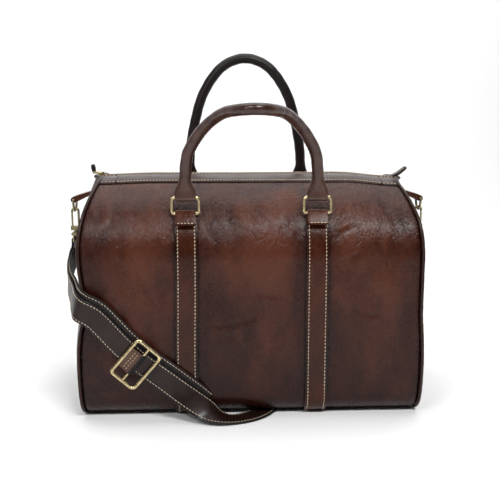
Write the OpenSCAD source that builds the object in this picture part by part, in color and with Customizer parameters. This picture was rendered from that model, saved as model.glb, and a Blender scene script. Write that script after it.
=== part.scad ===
// Weekender bag: barrel-topped leather travel bag with two rolled handles on rings,
// a zipped mouth along the top and a clip-on shoulder strap that is laid under the bag.
// X runs along the bag, Y from front to back, Z up from the surface it stands on.

/* [Body] */
// Length between the two end seams
body_w = 432; // [410:2:450]
// Depth from front panel to back panel
body_d = 240; // [232:2:250]
// Height of the top of the bag
body_h = 306; // [300:1:316]
// Radius of the rounded shoulders
shoulder_r = 100; // [92:1:104]
// Radius of the front and back edges of the base
base_r = 28; // [24:1:34]
// Thickness of the body leather
leather_t = 2.2; // [1.8:0.1:2.4]
// How far each end panel swells past its seam
end_swell = 9; // [6:0.5:11]
// Distance of each mouth seam from the middle of the top
seam_y = 54; // [50:1:60]

/* [Strips and rings] */
// Distance of each sewn strip from the middle of the bag
strip_x = 83; // [76:1:90]
// Width of the sewn strips and of the loops that hold the rings
strip_w = 29; // [26:1:32]
// Thickness of the sewn strips
strip_t = 2.75; // [2.4:0.05:2.9]
// Diameter of the ring wire
ring_wire = 4; // [3.6:0.1:4.2]
// Distance between the side bars of a ring
ring_w = 34; // [32:1:36]
// Distance between the lower and upper bars of a ring
ring_h = 20; // [18:1:24]
// Height of the lower bar of each ring
ring_z = 266; // [262:1:268]

/* [Handles] */
// Height of a handle above the upper bars of its rings, measured along the leather
handle_h = 180; // [170:1:188]
// Diameter of the rolled handle
handle_d = 13.8; // [12:0.2:15]
// Diameter of the rope inside the handle
handle_core_d = 8.6; // [7:0.2:9]
// Length of front handle that stands upright before it folds forward
fold_start = 18; // [12:1:26]
// Radius of the fold of the front handle
fold_r = 90; // [80:1:110]
// Angle from upright that the folded front handle reaches
fold_angle = 84; // [75:1:90]

/* [Mouth and zip] */
// Length of the part of the mouth that opens
mouth_w = 368; // [352:2:376]
// Width of the gap between the two lips, where the zip shows
zip_gap = 14; // [13:0.5:16]
// Distance from tooth to tooth
tooth_pitch = 3.2; // [2.8:0.1:4]

/* [Shoulder strap] */
// Width of the strap
strap_w = 31; // [28:1:34]
// Thickness of the strap
strap_thick = 2.4; // [2:0.1:2.6]
// Diameter of the hook, ring and eye wire
hook_wire = 3.2; // [2.8:0.1:3.4]
// Distance of each end ring from the middle of the bag
hook_x = 238.5; // [236:0.5:240]

/* [Hidden] */
$fn = 48;

leather = "#5a3220";
leather_trim = "#6d3f27";
leather_dark = "#35201a";
fabric = "#2b2420";
board = "#3a3634";
brass = "#a88c50";

clear = 0.2;                                  // gap between sewn layers
half_w = body_w / 2;
half_d = body_d / 2;
base_z = strip_t + 0.15;                      // the strips carry the bag
shoulder = [-(half_d - shoulder_r), body_h - shoulder_r];
corner = [-(half_d - base_r), base_z + base_r];
seam_a = acos((seam_y + shoulder[0]) / shoulder_r);
mouth_half = mouth_w / 2;
lining_off = leather_t + 2 * clear + 1.6;     // room for the base board
lining_t = 0.8;

bar_r = ring_wire / 2;
bore_gap = 0.1;                               // running clearance of every bored loop
loop_off = 7.2;                               // height of a ring bar above the panel
bar_a = asin((ring_z - shoulder[1]) / (shoulder_r + loop_off));
ring_y = shoulder[0] - (shoulder_r + loop_off) * cos(bar_a);
upper_z = ring_z + ring_h;

tape_z = body_h - 2.4;                        // top face of the zip tape
tape_t = 0.8;
tooth_z = body_h - 4;
tooth_h = 2.4;
slider_x = -200;
link_pin = [slider_x, body_h + 1.6];
link_len = 11;
link_r = 1.1;
link_tilt = 9;
tab_pin = [link_pin[0] - link_len * cos(link_tilt), link_pin[1] + link_len * sin(link_tilt)];

wire_r = hook_wire / 2;
d_bar_z = 272;
d_low_z = 256;
hook_top_z = d_low_z + hook_wire + 0.3;
hook_low_z = 236;
eye_z = 222;
panel_face = half_d + base_z;                 // outside of the strips

// ---------- outlines of the body, as [y, z] ----------

function reversed(list) = [for (i = [len(list) - 1:-1:0]) list[i]];
function to_back(list) = [for (p = reversed(list)) [-p[0], p[1]]];
function shoulder_point(off, a) =
    shoulder + (shoulder_r + off) * [-cos(a), sin(a)];
function corner_point(off, b) =
    corner + (base_r + off) * [-cos(b), -sin(b)];
// front half of the body outline, from angle a on the shoulder down to the base
function front_half(off, a) = concat(
    [for (i = [0:24]) shoulder_point(off, a * (1 - i / 24))],
    [for (i = [0:10]) corner_point(off, 9 * i)]);
function wrap(off, a) = concat(front_half(off, a), to_back(front_half(off, a)));
function band(inner, outer, a) = concat(wrap(outer, a), reversed(wrap(inner, a)));

module along_x(length) {
    rotate([90, 0, 90]) linear_extrude(length, center = true) children();
}

module both_sides(side) {
    if (side > 0) children();
    else mirror([1, 0, 0]) children();
}

module front_or_back(side) {
    if (side < 0) children();
    else mirror([0, 1, 0]) children();
}

// ---------- body ----------

module main_panel() {
    color(leather) along_x(body_w) polygon(band(-leather_t, 0, seam_a));
}

// body outline drawn in by inset, shrunk about its middle and set at x
function panel_ring(x, inset, shrink) =
    [for (p = wrap(-inset, 90)) [x, p[0] * shrink, body_h / 2 + (p[1] - body_h / 2) * shrink]];

// side is -1 for the left end and 1 for the right end
module end_panel(side) {
    color(leather) both_sides(side) translate([half_w + 0.2, 0, 0]) skin([
        panel_ring(end_swell - leather_t, 2.2, 0.7),
        panel_ring(end_swell * 0.75 - leather_t, 2.2, 0.86),
        panel_ring(0, 3.6, 1),
        panel_ring(0, 2.2, 1),
        panel_ring(leather_t, 2.2, 1),
        panel_ring(end_swell * 0.75, 2.2, 0.88),
        panel_ring(end_swell, 2.2, 0.72)]);
}

module piping(side) {
    color(leather_dark) both_sides(side) translate([half_w + 2, 0, 0]) along_x(3.6) difference() {
        polygon(wrap(1.6, 90));
        polygon(wrap(-2, 90));
    }
}

module strip(side) {
    color(leather_trim) translate([side * strip_x, 0, 0]) along_x(strip_w)
        polygon(band(0.15, base_z, bar_a + 3));
}

// leather loop that folds over the lower bar of a ring
module chape(side, face) {
    tail_a = asin((ring_z - 12 - shoulder[1]) / (shoulder_r + loop_off));
    color(leather_trim) front_or_back(face) translate([side * strip_x, 0, 0])
        difference() {
            union() {
                along_x(25) translate([ring_y, ring_z]) circle(bar_r + 2.2);
                along_x(25) polygon(concat(
                    [for (i = [0:6]) shoulder_point(base_z + 4, tail_a + (bar_a - tail_a) * i / 6)],
                    [for (i = [6:-1:0]) shoulder_point(base_z + 0.1,
                                                       tail_a + (bar_a - tail_a) * i / 6)]));
            }
            along_x(30) translate([ring_y, ring_z]) circle(bar_r + bore_gap);
        }
}

module lining() {
    in_off = lining_off + lining_t;
    color(fabric) difference() {
        along_x(body_w - 5) polygon(wrap(-lining_off, seam_a - 2));
        along_x(body_w - 5 - 2 * lining_t) polygon(concat(
            [[shoulder_point(-in_off, seam_a - 2)[0], body_h + 5]],
            wrap(-in_off, seam_a - 2),
            [[-shoulder_point(-in_off, seam_a - 2)[0], body_h + 5]]));
    }
}

module base_board() {
    color(board) translate([0, 0, base_z + leather_t + clear + 0.8])
        cube([body_w - 20, body_d - 2 * base_r - 4, 1.6], center = true);
}

// ---------- mouth ----------

// leather lip of the mouth, from the seam to the zip
module lip_leather(length, seam_gap) {
    first = seam_a + seam_gap;
    along_x(length) polygon(concat(
        [for (i = [0:6]) shoulder_point(0, first + (90 - first) * i / 6)],
        [[-zip_gap / 2, body_h], [-zip_gap / 2, body_h - leather_t]],
        [for (i = [6:-1:0]) shoulder_point(-leather_t, first + (90 - first) * i / 6)]));
}

module lip(face) {
    color(leather) front_or_back(face) lip_leather(mouth_w, 0.3);
}

module zip_tape(face) {
    color(fabric) front_or_back(face) translate([-mouth_half, -19, tape_z - tape_t])
        cube([mouth_w, 15.6, tape_t - 0.1]);
}

// one row of teeth, as a comb
module zip_teeth(face) {
    count = floor((mouth_w - 6) / tooth_pitch);
    start = -count * tooth_pitch / 2;
    color(brass) front_or_back(face) translate([0, 0, tooth_z]) linear_extrude(tooth_h)
        polygon(concat(
            [[start, -3.2]],
            [for (i = [0:count - 1]) for (step = [0:3])
                [start + (i + step / 4 + (step % 2) * 0.06) * tooth_pitch,
                 (step == 1 || step == 2) ? -0.6 : -2.2]],
            [[-start, -3.2]]));
}

// fixed leather at each end of the mouth, with the end of the zip sewn in
module zip_end(side) {
    length = half_w - mouth_half - 0.4;
    mid = mouth_half + 0.4 + length / 2;
    color(leather) both_sides(side) difference() {
        union() {
            for (face = [-1, 1]) front_or_back(face) translate([mid, 0, 0]) {
                lip_leather(length, 0.15);
                translate([-length / 2, -18, tape_z - tape_t])
                    cube([length, 14.6, tape_t + clear + 0.1]);
            }
            translate([half_w - 7, -9, body_h - 3]) cube([7, 18, 3]);
        }
    }
}

// folded leather tab sewn over the tail of the zip
module zip_tail_tab() {
    color(leather_dark) translate([half_w - 10, 0, body_h + 0.2]) hull() {
        translate([0, 0, 0.1]) cube([8, 14, 0.1], center = true);
        translate([4, 0, 3.4]) rotate([0, 50, 0]) cube([5, 14, 0.5], center = true);
        translate([15, 0, 10]) rotate([0, 50, 0]) cube([4.4, 13, 0.5], center = true);
    }
}

module zip_slider() {
    color(brass) difference() {
        translate([slider_x, 0, 0]) union() {
            translate([-6, -4.6, body_h - 1.4]) cube([12, 9.2, 1.2]);
            translate([-6, -4.6, body_h - 5.6]) cube([12, 9.2, 1.2]);
            translate([-2, -0.4, body_h - 5]) cube([4, 0.8, 4]);
            for (y = [-4.6, 3.5]) translate([-6, y, body_h - 1.9]) cube([12, 1.1, 0.7]);
            translate([-3.4, -1.3, body_h - 0.4]) cube([6.8, 2.6, 3.8]);
        }
        translate([link_pin[0], 0, link_pin[1]]) rotate([90, 0, 0])
            cylinder(h = 6, r = link_r + bore_gap, center = true);
    }
}

// small wire link between the slider and its leather tab
module zip_puller() {
    color(brass) translate([link_pin[0], 0, link_pin[1]])
        rotate([0, link_tilt - 90, 0]) rotate([0, 0, 90]) wire_frame(8, link_len, link_r, 1.3);
}

module zip_pull_tab() {
    color(leather_dark) translate([tab_pin[0], 0, tab_pin[1]]) rotate([0, -5, 0]) difference() {
        union() {
            rotate([90, 0, 0]) cylinder(h = 5, r = 2.9, center = true);
            translate([-2.4, -2.5, 0]) cube([4.8, 5, 5]);
            translate([-2.4, -5.2, 4]) cube([4.8, 10.4, 6.5]);
        }
        rotate([90, 0, 0]) cylinder(h = 6, r = link_r + bore_gap, center = true);
    }
}

// ---------- rings and handles ----------

// rounded rectangle of wire standing over the origin, its lower bar along X
module wire_frame(width, height, r, bend) {
    for (z = [0, height]) translate([0, 0, z]) rotate([0, 90, 0])
        cylinder(h = width - 2 * bend, r = r, center = true);
    for (x = [-width / 2, width / 2]) translate([x, 0, bend]) cylinder(h = height - 2 * bend, r = r);
    for (x = [-1, 1]) for (z = [-1, 1])
        translate([x * (width / 2 - bend), 0, height / 2 + z * (height / 2 - bend)])
            rotate([90, 0, 0]) rotate([0, 0, x > 0 ? (z > 0 ? 0 : -90) : (z > 0 ? 90 : 180)])
                rotate_extrude(angle = 90) translate([bend, 0]) circle(r);
}

module ring(side, face) {
    color(brass) front_or_back(face) translate([side * strip_x, ring_y, ring_z])
        wire_frame(ring_w, ring_h, bar_r, 4);
}

// half of each handle laid flat: distance from the middle and height up the leather,
// as shares of the half width and the height; folding draws the front one in
back_outline = [[1, 0], [1, 0.15], [0.975, 0.3], [0.9, 0.48], [0.79, 0.665], [0.63, 0.81],
                [0.43, 0.922], [0.22, 0.98], [0, 1]];
front_outline = [[1, 0], [1, 0.17], [0.96, 0.31], [0.87, 0.41], [0.73, 0.53], [0.55, 0.67],
                 [0.37, 0.82], [0.19, 0.95], [0, 1]];
function mirrored_path(half) = concat(half,
    [for (i = [len(half) - 2:-1:0]) [-half[i][0], half[i][1]]]);
function spline(list, t) =
    let (n = len(list) - 1, i = min(floor(t * n), n - 1), u = t * n - i,
         a = list[max(i - 1, 0)], b = list[i], c = list[i + 1], d = list[min(i + 2, n)])
    0.5 * (2 * b + (c - a) * u + (2 * a - 5 * b + 4 * c - d) * u * u
           + (3 * b - a - 3 * c + d) * u * u * u);

// distance forward and up for a length s of handle, which folds forward when fold is 1
function fold_path(s, fold) =
    let (bend = fold_r * fold_angle * PI / 180, over = s - fold_start)
    fold == 0 || over <= 0 ? [0, s]
    : over < bend ? [fold_r * (1 - cos(over / fold_r * 180 / PI)),
                     fold_start + fold_r * sin(over / fold_r * 180 / PI)]
    : [fold_r * (1 - cos(fold_angle)) + (over - bend) * sin(fold_angle),
       fold_start + fold_r * sin(fold_angle) + (over - bend) * cos(fold_angle)];
function handle_flat(t, fold) =
    spline(mirrored_path(fold == 1 ? front_outline : back_outline), t);
function handle_reach(fold) = fold == 1 ? handle_h - 4 : handle_h;
function handle_point(t, fold) =
    let (flat = handle_flat(t, fold), path = fold_path(flat[1] * handle_reach(fold), fold))
    [flat[0] * strip_x, ring_y - path[0], upper_z + path[1]];
// direction square to the sheet that the handle lies in
function handle_normal(t, fold) =
    let (s = handle_flat(t, fold)[1] * handle_reach(fold),
         a = fold_path(s - 0.5, fold), b = fold_path(s + 0.5, fold), d = (b - a) / norm(b - a))
    [0, -d[1], -d[0]];

function unit(v) = v / norm(v);
// places a flat section, as [across, out] points, at a point of a path
function placed(p, along, out, section) =
    let (across = unit(cross(along, out)), square_out = cross(across, along))
    [for (s = reversed(section)) p + across * s[0] + square_out * s[1]];
function round_section(r, sides) = [for (i = [0:sides - 1]) r * [cos(360 * i / sides), sin(360 * i / sides)]];
// flat section, with points along both faces so that a twisted strap keeps its thickness
function strap_section(w, t) = concat(
    [for (i = [-2:2]) [w * i / 4, -t / 2]],
    [for (i = [2:-1:-2]) [w * i / 4, t / 2]]);

// rolled leather, whose two edges meet along the inside of the arch
rolled_section = concat(
    [for (i = [0:12]) handle_d / 2 * [cos(183 + 29.5 * i), sin(183 + 29.5 * i)]],
    [for (i = [8:-1:0]) (handle_core_d / 2 + clear) * [cos(184 + 44 * i), sin(184 + 44 * i)]]);

// solid through a list of rings that each have the same number of points
module skin(rings) {
    n = len(rings[0]);
    m = len(rings);
    polyhedron(
        points = [for (r = rings) for (p = r) p],
        faces = concat(
            [[for (i = [0:n - 1]) i]],
            [for (j = [0:m - 2]) for (i = [0:n - 1])
                [j * n + i, (j + 1) * n + i, (j + 1) * n + (i + 1) % n]],
            [for (j = [0:m - 2]) for (i = [0:n - 1])
                [j * n + i, (j + 1) * n + (i + 1) % n, j * n + (i + 1) % n]],
            [[for (i = [n - 1:-1:0]) (m - 1) * n + i]]));
}

module handle_sweep(fold, first, last, section) {
    steps = 56;
    skin([for (i = [0:steps])
        let (t = first + (last - first) * i / steps,
             along = unit(handle_point(t + 0.002, fold) - handle_point(t - 0.002, fold)))
        placed(handle_point(t, fold), along, handle_normal(t, fold), section)]);
}

// flattened end of the handle, folded over the upper bar of a ring
module handle_foot(side, fold) {
    translate([side * strip_x, ring_y, upper_z]) hull() {
        rotate([0, 90, 0]) cylinder(h = 25, r = bar_r + 2.6, center = true, $fn = 32);
        translate([0, -fold_path(30, fold)[0], 28]) cylinder(h = 3, r = handle_d / 2 + 0.2, $fn = 32);
    }
}

module handle_cover(fold) {
    difference() {
        union() {
            handle_sweep(fold, 0.06, 0.94, rolled_section);
            for (side = [-1, 1]) handle_foot(side, fold);
        }
        for (side = [-1, 1]) translate([side * strip_x, ring_y, upper_z]) rotate([0, 90, 0])
            cylinder(h = 40, r = bar_r + bore_gap, center = true);
    }
}

module handle_front_cover() { color(leather_trim) handle_cover(1); }
module handle_front_core() { color(fabric) handle_sweep(1, 0.1, 0.9, round_section(handle_core_d / 2, 8)); }
module handle_back_cover() { color(leather_trim) mirror([0, 1, 0]) handle_cover(0); }
module handle_back_core() {
    color(fabric) mirror([0, 1, 0]) handle_sweep(0, 0.1, 0.9, round_section(handle_core_d / 2, 8));
}

// ---------- end rings and hooks ----------

// leather tab from the end panel to the straight bar of its ring
module side_tab(side) {
    color(leather_trim) both_sides(side) difference() {
        union() {
            translate([hook_x, 0, d_bar_z]) rotate([90, 0, 0])
                cylinder(h = 20, r = wire_r + 2.2, center = true);
            rotate([90, 0, 0]) linear_extrude(20, center = true)
                polygon([[hook_x + 3.4, d_bar_z + 1.6], [half_w + 12.4, 288], [half_w + 8.4, 288],
                         [half_w + 9.6, 276], [hook_x - 3.4, d_bar_z - 1.6]]);
        }
        translate([hook_x, 0, d_bar_z]) rotate([90, 0, 0])
            cylinder(h = 22, r = wire_r + bore_gap, center = true);
    }
}

module d_ring(side) {
    half = 13;
    arc_z = d_low_z + half;
    color(brass) both_sides(side) translate([hook_x, 0, 0]) {
        translate([0, 0, d_bar_z]) rotate([90, 0, 0])
            cylinder(h = 2 * half, r = wire_r, center = true);
        for (y = [-half, half]) {
            translate([0, y, arc_z]) cylinder(h = d_bar_z - arc_z, r = wire_r);
            translate([0, y, d_bar_z]) sphere(wire_r);
        }
        translate([0, 0, arc_z]) rotate([90, 0, 90]) rotate([0, 0, 180])
            rotate_extrude(angle = 180) translate([half, 0]) circle(wire_r);
    }
}

// hook that hangs on the end ring, with its open side away from the bag
module snap_hook(side) {
    in_x = hook_x - 4.4;
    out_x = hook_x + 4.4;
    color(brass) both_sides(side) difference() {
        union() {
            translate([in_x, 0, hook_low_z - 3]) cylinder(h = hook_top_z - hook_low_z - 1.4, r = wire_r);
            translate([hook_x, 0, hook_top_z - 4.4]) rotate([90, 0, 0])
                rotate_extrude(angle = 180) translate([4.4, 0]) circle(wire_r);
            translate([out_x, 0, hook_top_z - 7]) cylinder(h = 2.6, r = wire_r);
            translate([hook_x, 0, hook_low_z - 4]) cube([13, 6.4, 6], center = true);
            translate([hook_x, 0, hook_low_z - 14]) cylinder(h = 10, r = 2);
            translate([hook_x, 0, hook_low_z - 14.2]) cylinder(h = 1.5, r = 3.2);
        }
        translate([out_x, 0, hook_low_z - 1.6]) cube([5, 3, 4.4], center = true);
    }
    color(brass) both_sides(side) translate([out_x, 0, hook_low_z - 2.2]) rotate([90, 0, 0])
        cylinder(h = 6.4, r = 0.8, center = true);
}

// sprung gate that closes the hook and swings inwards
module hook_gate(side) {
    out_x = hook_x + 4.4;
    color(brass) both_sides(side) difference() {
        union() {
            translate([out_x, 0, hook_low_z - 2.2]) rotate([90, 0, 0])
                cylinder(h = 2.6, r = 1.5, center = true);
            translate([out_x - 1.1, -1.3, hook_low_z - 2.2])
                cube([2.2, 2.6, hook_top_z - 7.4 - hook_low_z + 2.2]);
        }
        translate([out_x, 0, hook_low_z - 2.2]) rotate([90, 0, 0])
            cylinder(h = 4, r = 0.8 + bore_gap, center = true);
    }
}

// rectangular eye that the strap passes through, turning under the hook
module swivel_eye(side) {
    top_z = hook_low_z - 10;
    half = strap_w / 2 + 3;
    color(brass) both_sides(side) difference() {
        union() {
            translate([hook_x, 0, top_z]) cube([6.4, 2 * half + 2, 3.2], center = true);
            translate([hook_x, 0, top_z - 1]) cylinder(h = 3, r = 4.6, center = true);
            for (y = [-half, half]) translate([hook_x, y, eye_z - 5])
                cylinder(h = top_z - eye_z + 5, r = 1.6);
            translate([hook_x, 0, eye_z - 5]) rotate([90, 0, 0])
                cylinder(h = 2 * half, r = 1.6, center = true);
            for (y = [-half, half]) translate([hook_x, y, eye_z - 5]) sphere(1.6);
        }
        translate([hook_x, 0, top_z]) cylinder(h = 12, r = 2.1, center = true);
    }
}

// ---------- shoulder strap ----------

loop_z = eye_z - 5;                           // bar that the strap turns over
eye_clear = 0.4;                              // play of the strap on that bar
turn_r = wire_r + eye_clear + strap_thick / 2;
layer_gap = strap_thick + 0.7;                // from the strap to the layer inside it
tail_shift = 8.5;                             // how far the inner layer shows past the edge
// half of the strap's route, from the left eye to below the middle of the bag:
// place and outward direction
half_route = [
    [[-241.7, 0, 217], [-1, 0, 0]],
    [[-241.8, 0, 207], [-1, 0, 0]],
    [[-243.2, -5, 196], [-1, 0, 0]],
    [[-244, -20, 186], [-1, 0, 0]],
    [[-243, -42, 178], [-1, -0.05, 0]],
    [[-239.5, -66, 170], [-1, -0.1, 0.05]],
    [[-236, -91, 162.5], [-1, -0.25, 0.1]],
    [[-231.5, -114, 155], [-1, -0.6, 0.1]],
    [[-223, -130.5, 149], [-0.6, -1, 0.1]],
    [[-204, -132, 138.5], [-0.1, -1, 0.05]],
    [[-184, -131.5, 121.5], [0, -1, 0]],
    [[-162, -130.3, 98.5], [0, -1, 0]],
    [[-138, -130, 76.5], [0, -1, 0]],
    [[-110, -131, 55], [0, -1, 0.05]],
    [[-86, -133.8, 37], [0, -1, 0.25]],
    [[-65, -136, 22], [0, -1, 0.75]],
    [[-45, -136, 9], [0, -0.35, 1]],
    [[-25, -131.5, 2.2], [0, -0.03, 1]],
    [[-5, -123, 1.4], [0, 0, 1]],
    [[11, -108, 1.35], [0, 0, 1]],
    [[21, -88, 1.35], [0, 0, 1]],
    [[24, -62, 1.35], [0, 0, 1]],
    [[16, -28, 1.35], [0, 0, 1]],
    [[0, 0, 1.35], [0, 0, 1]]];
half_steps = 48;                              // rings of the strap along half of its route
tail_steps = 30;                              // rings that the inner layer reaches to
sewn_steps = 8;
// the rest of the way to the right eye mirrors it through the middle of the bag
strap_route = concat(half_route,
    [for (i = [len(half_route) - 2:-1:0]) [for (v = half_route[i]) [-v[0], -v[1], v[2]]]]);

function route_place(route, t) = spline([for (r = route) r[0]], t);
function route_out(route, t) = unit(spline([for (r = route) r[1]], t));
function ease(t) = t <= 0 ? 0 : t >= 1 ? 1 : t * t * (3 - 2 * t);

// strap swept over the first steps of a route, shifted across it and set in from it by layer(t)
module ribbon(route, all_steps, steps, layer = function(t) [0, 0]) {
    skin([for (i = [0:steps])
        let (t = i / all_steps,
             along = unit(route_place(route, min(t + 0.002, 1)) - route_place(route, max(t - 0.002, 0))))
        placed(route_place(route, t), along, route_out(route, t),
               [for (s = strap_section(strap_w, strap_thick)) s + layer(t)])]);
}

// how far the inner layer is shifted across the strap and set in from it
function inner_layer(t, shift) =
    [-shift * ease((t - 0.05) / 0.3), -layer_gap - (2 * turn_r - layer_gap) * (1 - ease(t / 0.16))];

// turn of the strap over the bar of an eye
module strap_turn(side) {
    translate([side * hook_x, 0, loop_z]) rotate([90, 0, 0]) difference() {
        cylinder(h = strap_w, r = turn_r + strap_thick / 2, center = true);
        cylinder(h = strap_w + 2, r = turn_r - strap_thick / 2, center = true);
        translate([0, -5, 0]) cube([20, 10, strap_w + 2], center = true);
    }
}

module shoulder_strap() {
    color(leather_trim) {
        ribbon(strap_route, 2 * half_steps, 2 * half_steps);
        strap_turn(-1);
        strap_turn(1);
        rotate(180) ribbon(half_route, half_steps, sewn_steps, function(t) inner_layer(t, 0));
    }
}

// the second layer lies between the strap and the bag, set up the face
module strap_tail() {
    color(leather_dark) 
        ribbon(half_route, half_steps, tail_steps, function(t) inner_layer(t, tail_shift));
}

// ---------- slide buckle on the strap ----------

buckle_at = [-147, -136.6, 79];
buckle_turn = 41;                             // slope of the strap across the front
buckle_w = 54.5;
buckle_l = 36.5;
buckle_wire = 5;

module buckle_place() {
    translate(buckle_at) rotate([0, buckle_turn, 0]) children();
}

module slide_buckle() {
    color(brass) buckle_place() rotate([0, 90, 0]) union() {
        translate([0, 0, -buckle_l / 2]) wire_frame(buckle_w, buckle_l, buckle_wire / 2, 5);
        rotate([0, 90, 0]) cylinder(h = buckle_w, r = 1.7, center = true);
    }
}

// end of the strap, folded over the middle bar and sewn
module strap_fold() {
    color(leather_dark) buckle_place() rotate([0, 90, 0]) rotate([0, 90, 0]) difference() {
        cylinder(h = strap_w, r = 4.1, center = true);
        cylinder(h = strap_w + 2, r = 1.7 + bore_gap, center = true);
    }
}

main_panel();
end_panel(-1);  // end_panel_left
end_panel(1);  // end_panel_right
piping(-1);  // piping_left
piping(1);  // piping_right
strip(-1);  // strip_left
strip(1);  // strip_right
chape(-1, -1);  // chape_front_left
chape(1, -1);  // chape_front_right
chape(-1, 1);  // chape_back_left
chape(1, 1);  // chape_back_right
lining();
base_board();
zip_end(-1);  // zip_end_left
zip_end(1);  // zip_end_right
zip_tail_tab();
side_tab(-1);  // side_tab_left
side_tab(1);  // side_tab_right
shoulder_strap();
strap_tail();
lip(-1);  // lip_front
lip(1);  // lip_back
zip_tape(-1);  // zip_tape_front
zip_tape(1);  // zip_tape_back
zip_teeth(-1);  // zip_teeth_front
zip_teeth(1);  // zip_teeth_back
zip_slider();
zip_puller();
zip_pull_tab();
ring(-1, -1);  // ring_front_left
ring(1, -1);  // ring_front_right
ring(-1, 1);  // ring_back_left
ring(1, 1);  // ring_back_right
handle_front_cover();
handle_front_core();
handle_back_cover();
handle_back_core();
d_ring(-1);  // d_ring_left
d_ring(1);  // d_ring_right
swivel_eye(-1);  // swivel_eye_left
swivel_eye(1);  // swivel_eye_right
snap_hook(-1);  // snap_hook_left
snap_hook(1);  // snap_hook_right
hook_gate(-1);  // hook_gate_left
hook_gate(1);  // hook_gate_right
slide_buckle();
strap_fold();
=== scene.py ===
"""Leather weekender bag: the looks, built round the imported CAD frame.

Every length in this file is in millimetres until it becomes a mesh: put() turns it into metres.
X runs along the bag, Y from front to back, Z up from the floor, as in the frame.
"""
import math

import bpy
import numpy as np
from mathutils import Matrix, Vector, noise


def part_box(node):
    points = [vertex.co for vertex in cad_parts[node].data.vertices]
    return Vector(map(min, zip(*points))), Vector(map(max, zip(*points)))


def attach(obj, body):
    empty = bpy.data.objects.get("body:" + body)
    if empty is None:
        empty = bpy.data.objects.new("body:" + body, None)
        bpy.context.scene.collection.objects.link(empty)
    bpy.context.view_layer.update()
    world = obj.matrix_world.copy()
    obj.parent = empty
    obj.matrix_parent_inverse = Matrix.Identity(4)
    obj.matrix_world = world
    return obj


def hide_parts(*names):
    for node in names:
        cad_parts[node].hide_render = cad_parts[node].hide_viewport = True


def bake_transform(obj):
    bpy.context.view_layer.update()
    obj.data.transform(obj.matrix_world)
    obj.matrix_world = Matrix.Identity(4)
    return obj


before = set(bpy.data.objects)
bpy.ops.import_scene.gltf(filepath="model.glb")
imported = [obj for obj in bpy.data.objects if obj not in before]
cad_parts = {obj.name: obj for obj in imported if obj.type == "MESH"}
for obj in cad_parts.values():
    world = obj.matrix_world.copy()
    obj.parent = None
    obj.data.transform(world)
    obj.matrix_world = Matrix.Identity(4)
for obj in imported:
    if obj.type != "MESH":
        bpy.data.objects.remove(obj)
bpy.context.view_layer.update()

scene = bpy.context.scene
MM = 0.001


def node_box(node):
    """Lowest and highest corner of a CAD node, in mm."""
    low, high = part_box(node)
    return np.array(low) / MM, np.array(high) / MM


# ---------- driving sizes, from the frame ----------

panel_low, panel_high = node_box("main_panel")
strip_low, strip_high = node_box("strip_right")
ring_low, ring_high = node_box("ring_front_right")
_, tape_high = node_box("zip_tape_front")

HALF_W = panel_high[0]
HALF_D = panel_high[1]
BASE_Z = panel_low[2]
STRIP_X = (strip_low[0] + strip_high[0]) / 2
STRIP_W = strip_high[0] - strip_low[0]
STRIP_T = BASE_Z - strip_low[2] - 0.15
RING_R = (ring_high[1] - ring_low[1]) / 2
RING_Y = (ring_low[1] + ring_high[1]) / 2
LOW_BAR = ring_low[2] + RING_R
HIGH_BAR = ring_high[2] - RING_R
MOUTH_HALF = tape_high[0]

BODY_H = 306.0
SHOULDER_R = 100.0
BASE_R = 28.0
LEATHER_T = 2.2
SEAM_Y = 54.0
ZIP_GAP = 14.0
SHOULDER = np.array([-(HALF_D - SHOULDER_R), BODY_H - SHOULDER_R])
CORNER = np.array([-(HALF_D - BASE_R), BASE_Z + BASE_R])
SEAM_A = math.acos((SEAM_Y + SHOULDER[0]) / SHOULDER_R)


# ---------- small helpers ----------

def smooth(t):
    t = np.clip(t, 0.0, 1.0)
    return t * t * (3 - 2 * t)


def unit(v):
    v = np.asarray(v, float)
    return v / np.maximum(np.linalg.norm(v, axis=-1, keepdims=True), 1e-12)


def waves(points, size, seed=0.0, octaves=3):
    """Smooth noise from about -1 to 1 at each point, with lumps of about that size in mm."""
    shift = Vector((seed * 17.3, seed * 5.9, seed * 11.1))
    flat = np.asarray(points, float).reshape(-1, 3) / size
    values = [noise.fractal(Vector(p) + shift, 1.0, 2.0, octaves) for p in flat]
    return np.array(values).reshape(np.asarray(points).shape[:-1])


def spline(points, t):
    """Points of a Catmull-Rom curve at shares t of its run."""
    points = np.asarray(points, float)
    last = len(points) - 1
    t = np.atleast_1d(np.asarray(t, float))
    i = np.minimum(np.floor(t * last), last - 1).astype(int)
    u = (t * last - i)[:, None]
    a = points[np.maximum(i - 1, 0)]
    b = points[i]
    c = points[i + 1]
    d = points[np.minimum(i + 2, last)]
    return 0.5 * (2 * b + (c - a) * u + (2 * a - 5 * b + 4 * c - d) * u ** 2
                  + (3 * b - a - 3 * c + d) * u ** 3)


def put(name, verts, faces, body=None, material=None, slot=None, stands_for=(), tone=None):
    """Makes a smooth mesh piece from points in mm and sets it on its body."""
    mesh = bpy.data.meshes.new(name)
    mesh.from_pydata((np.asarray(verts, float).reshape(-1, 3) * MM).tolist(), [], faces)
    mesh.polygons.foreach_set("use_smooth", [True] * len(mesh.polygons))
    mesh.update()
    piece = bpy.data.objects.new(name, mesh)
    scene.collection.objects.link(piece)
    values = np.full(len(mesh.vertices), 0.5) if tone is None else np.asarray(tone, float).ravel()
    mesh.attributes.new("tone", "FLOAT", "POINT").data.foreach_set("value", values)
    if material:
        mesh.materials.append(material)
    if body:
        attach(piece, body)
    if stands_for:
        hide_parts(*stands_for)
    return piece


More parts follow.
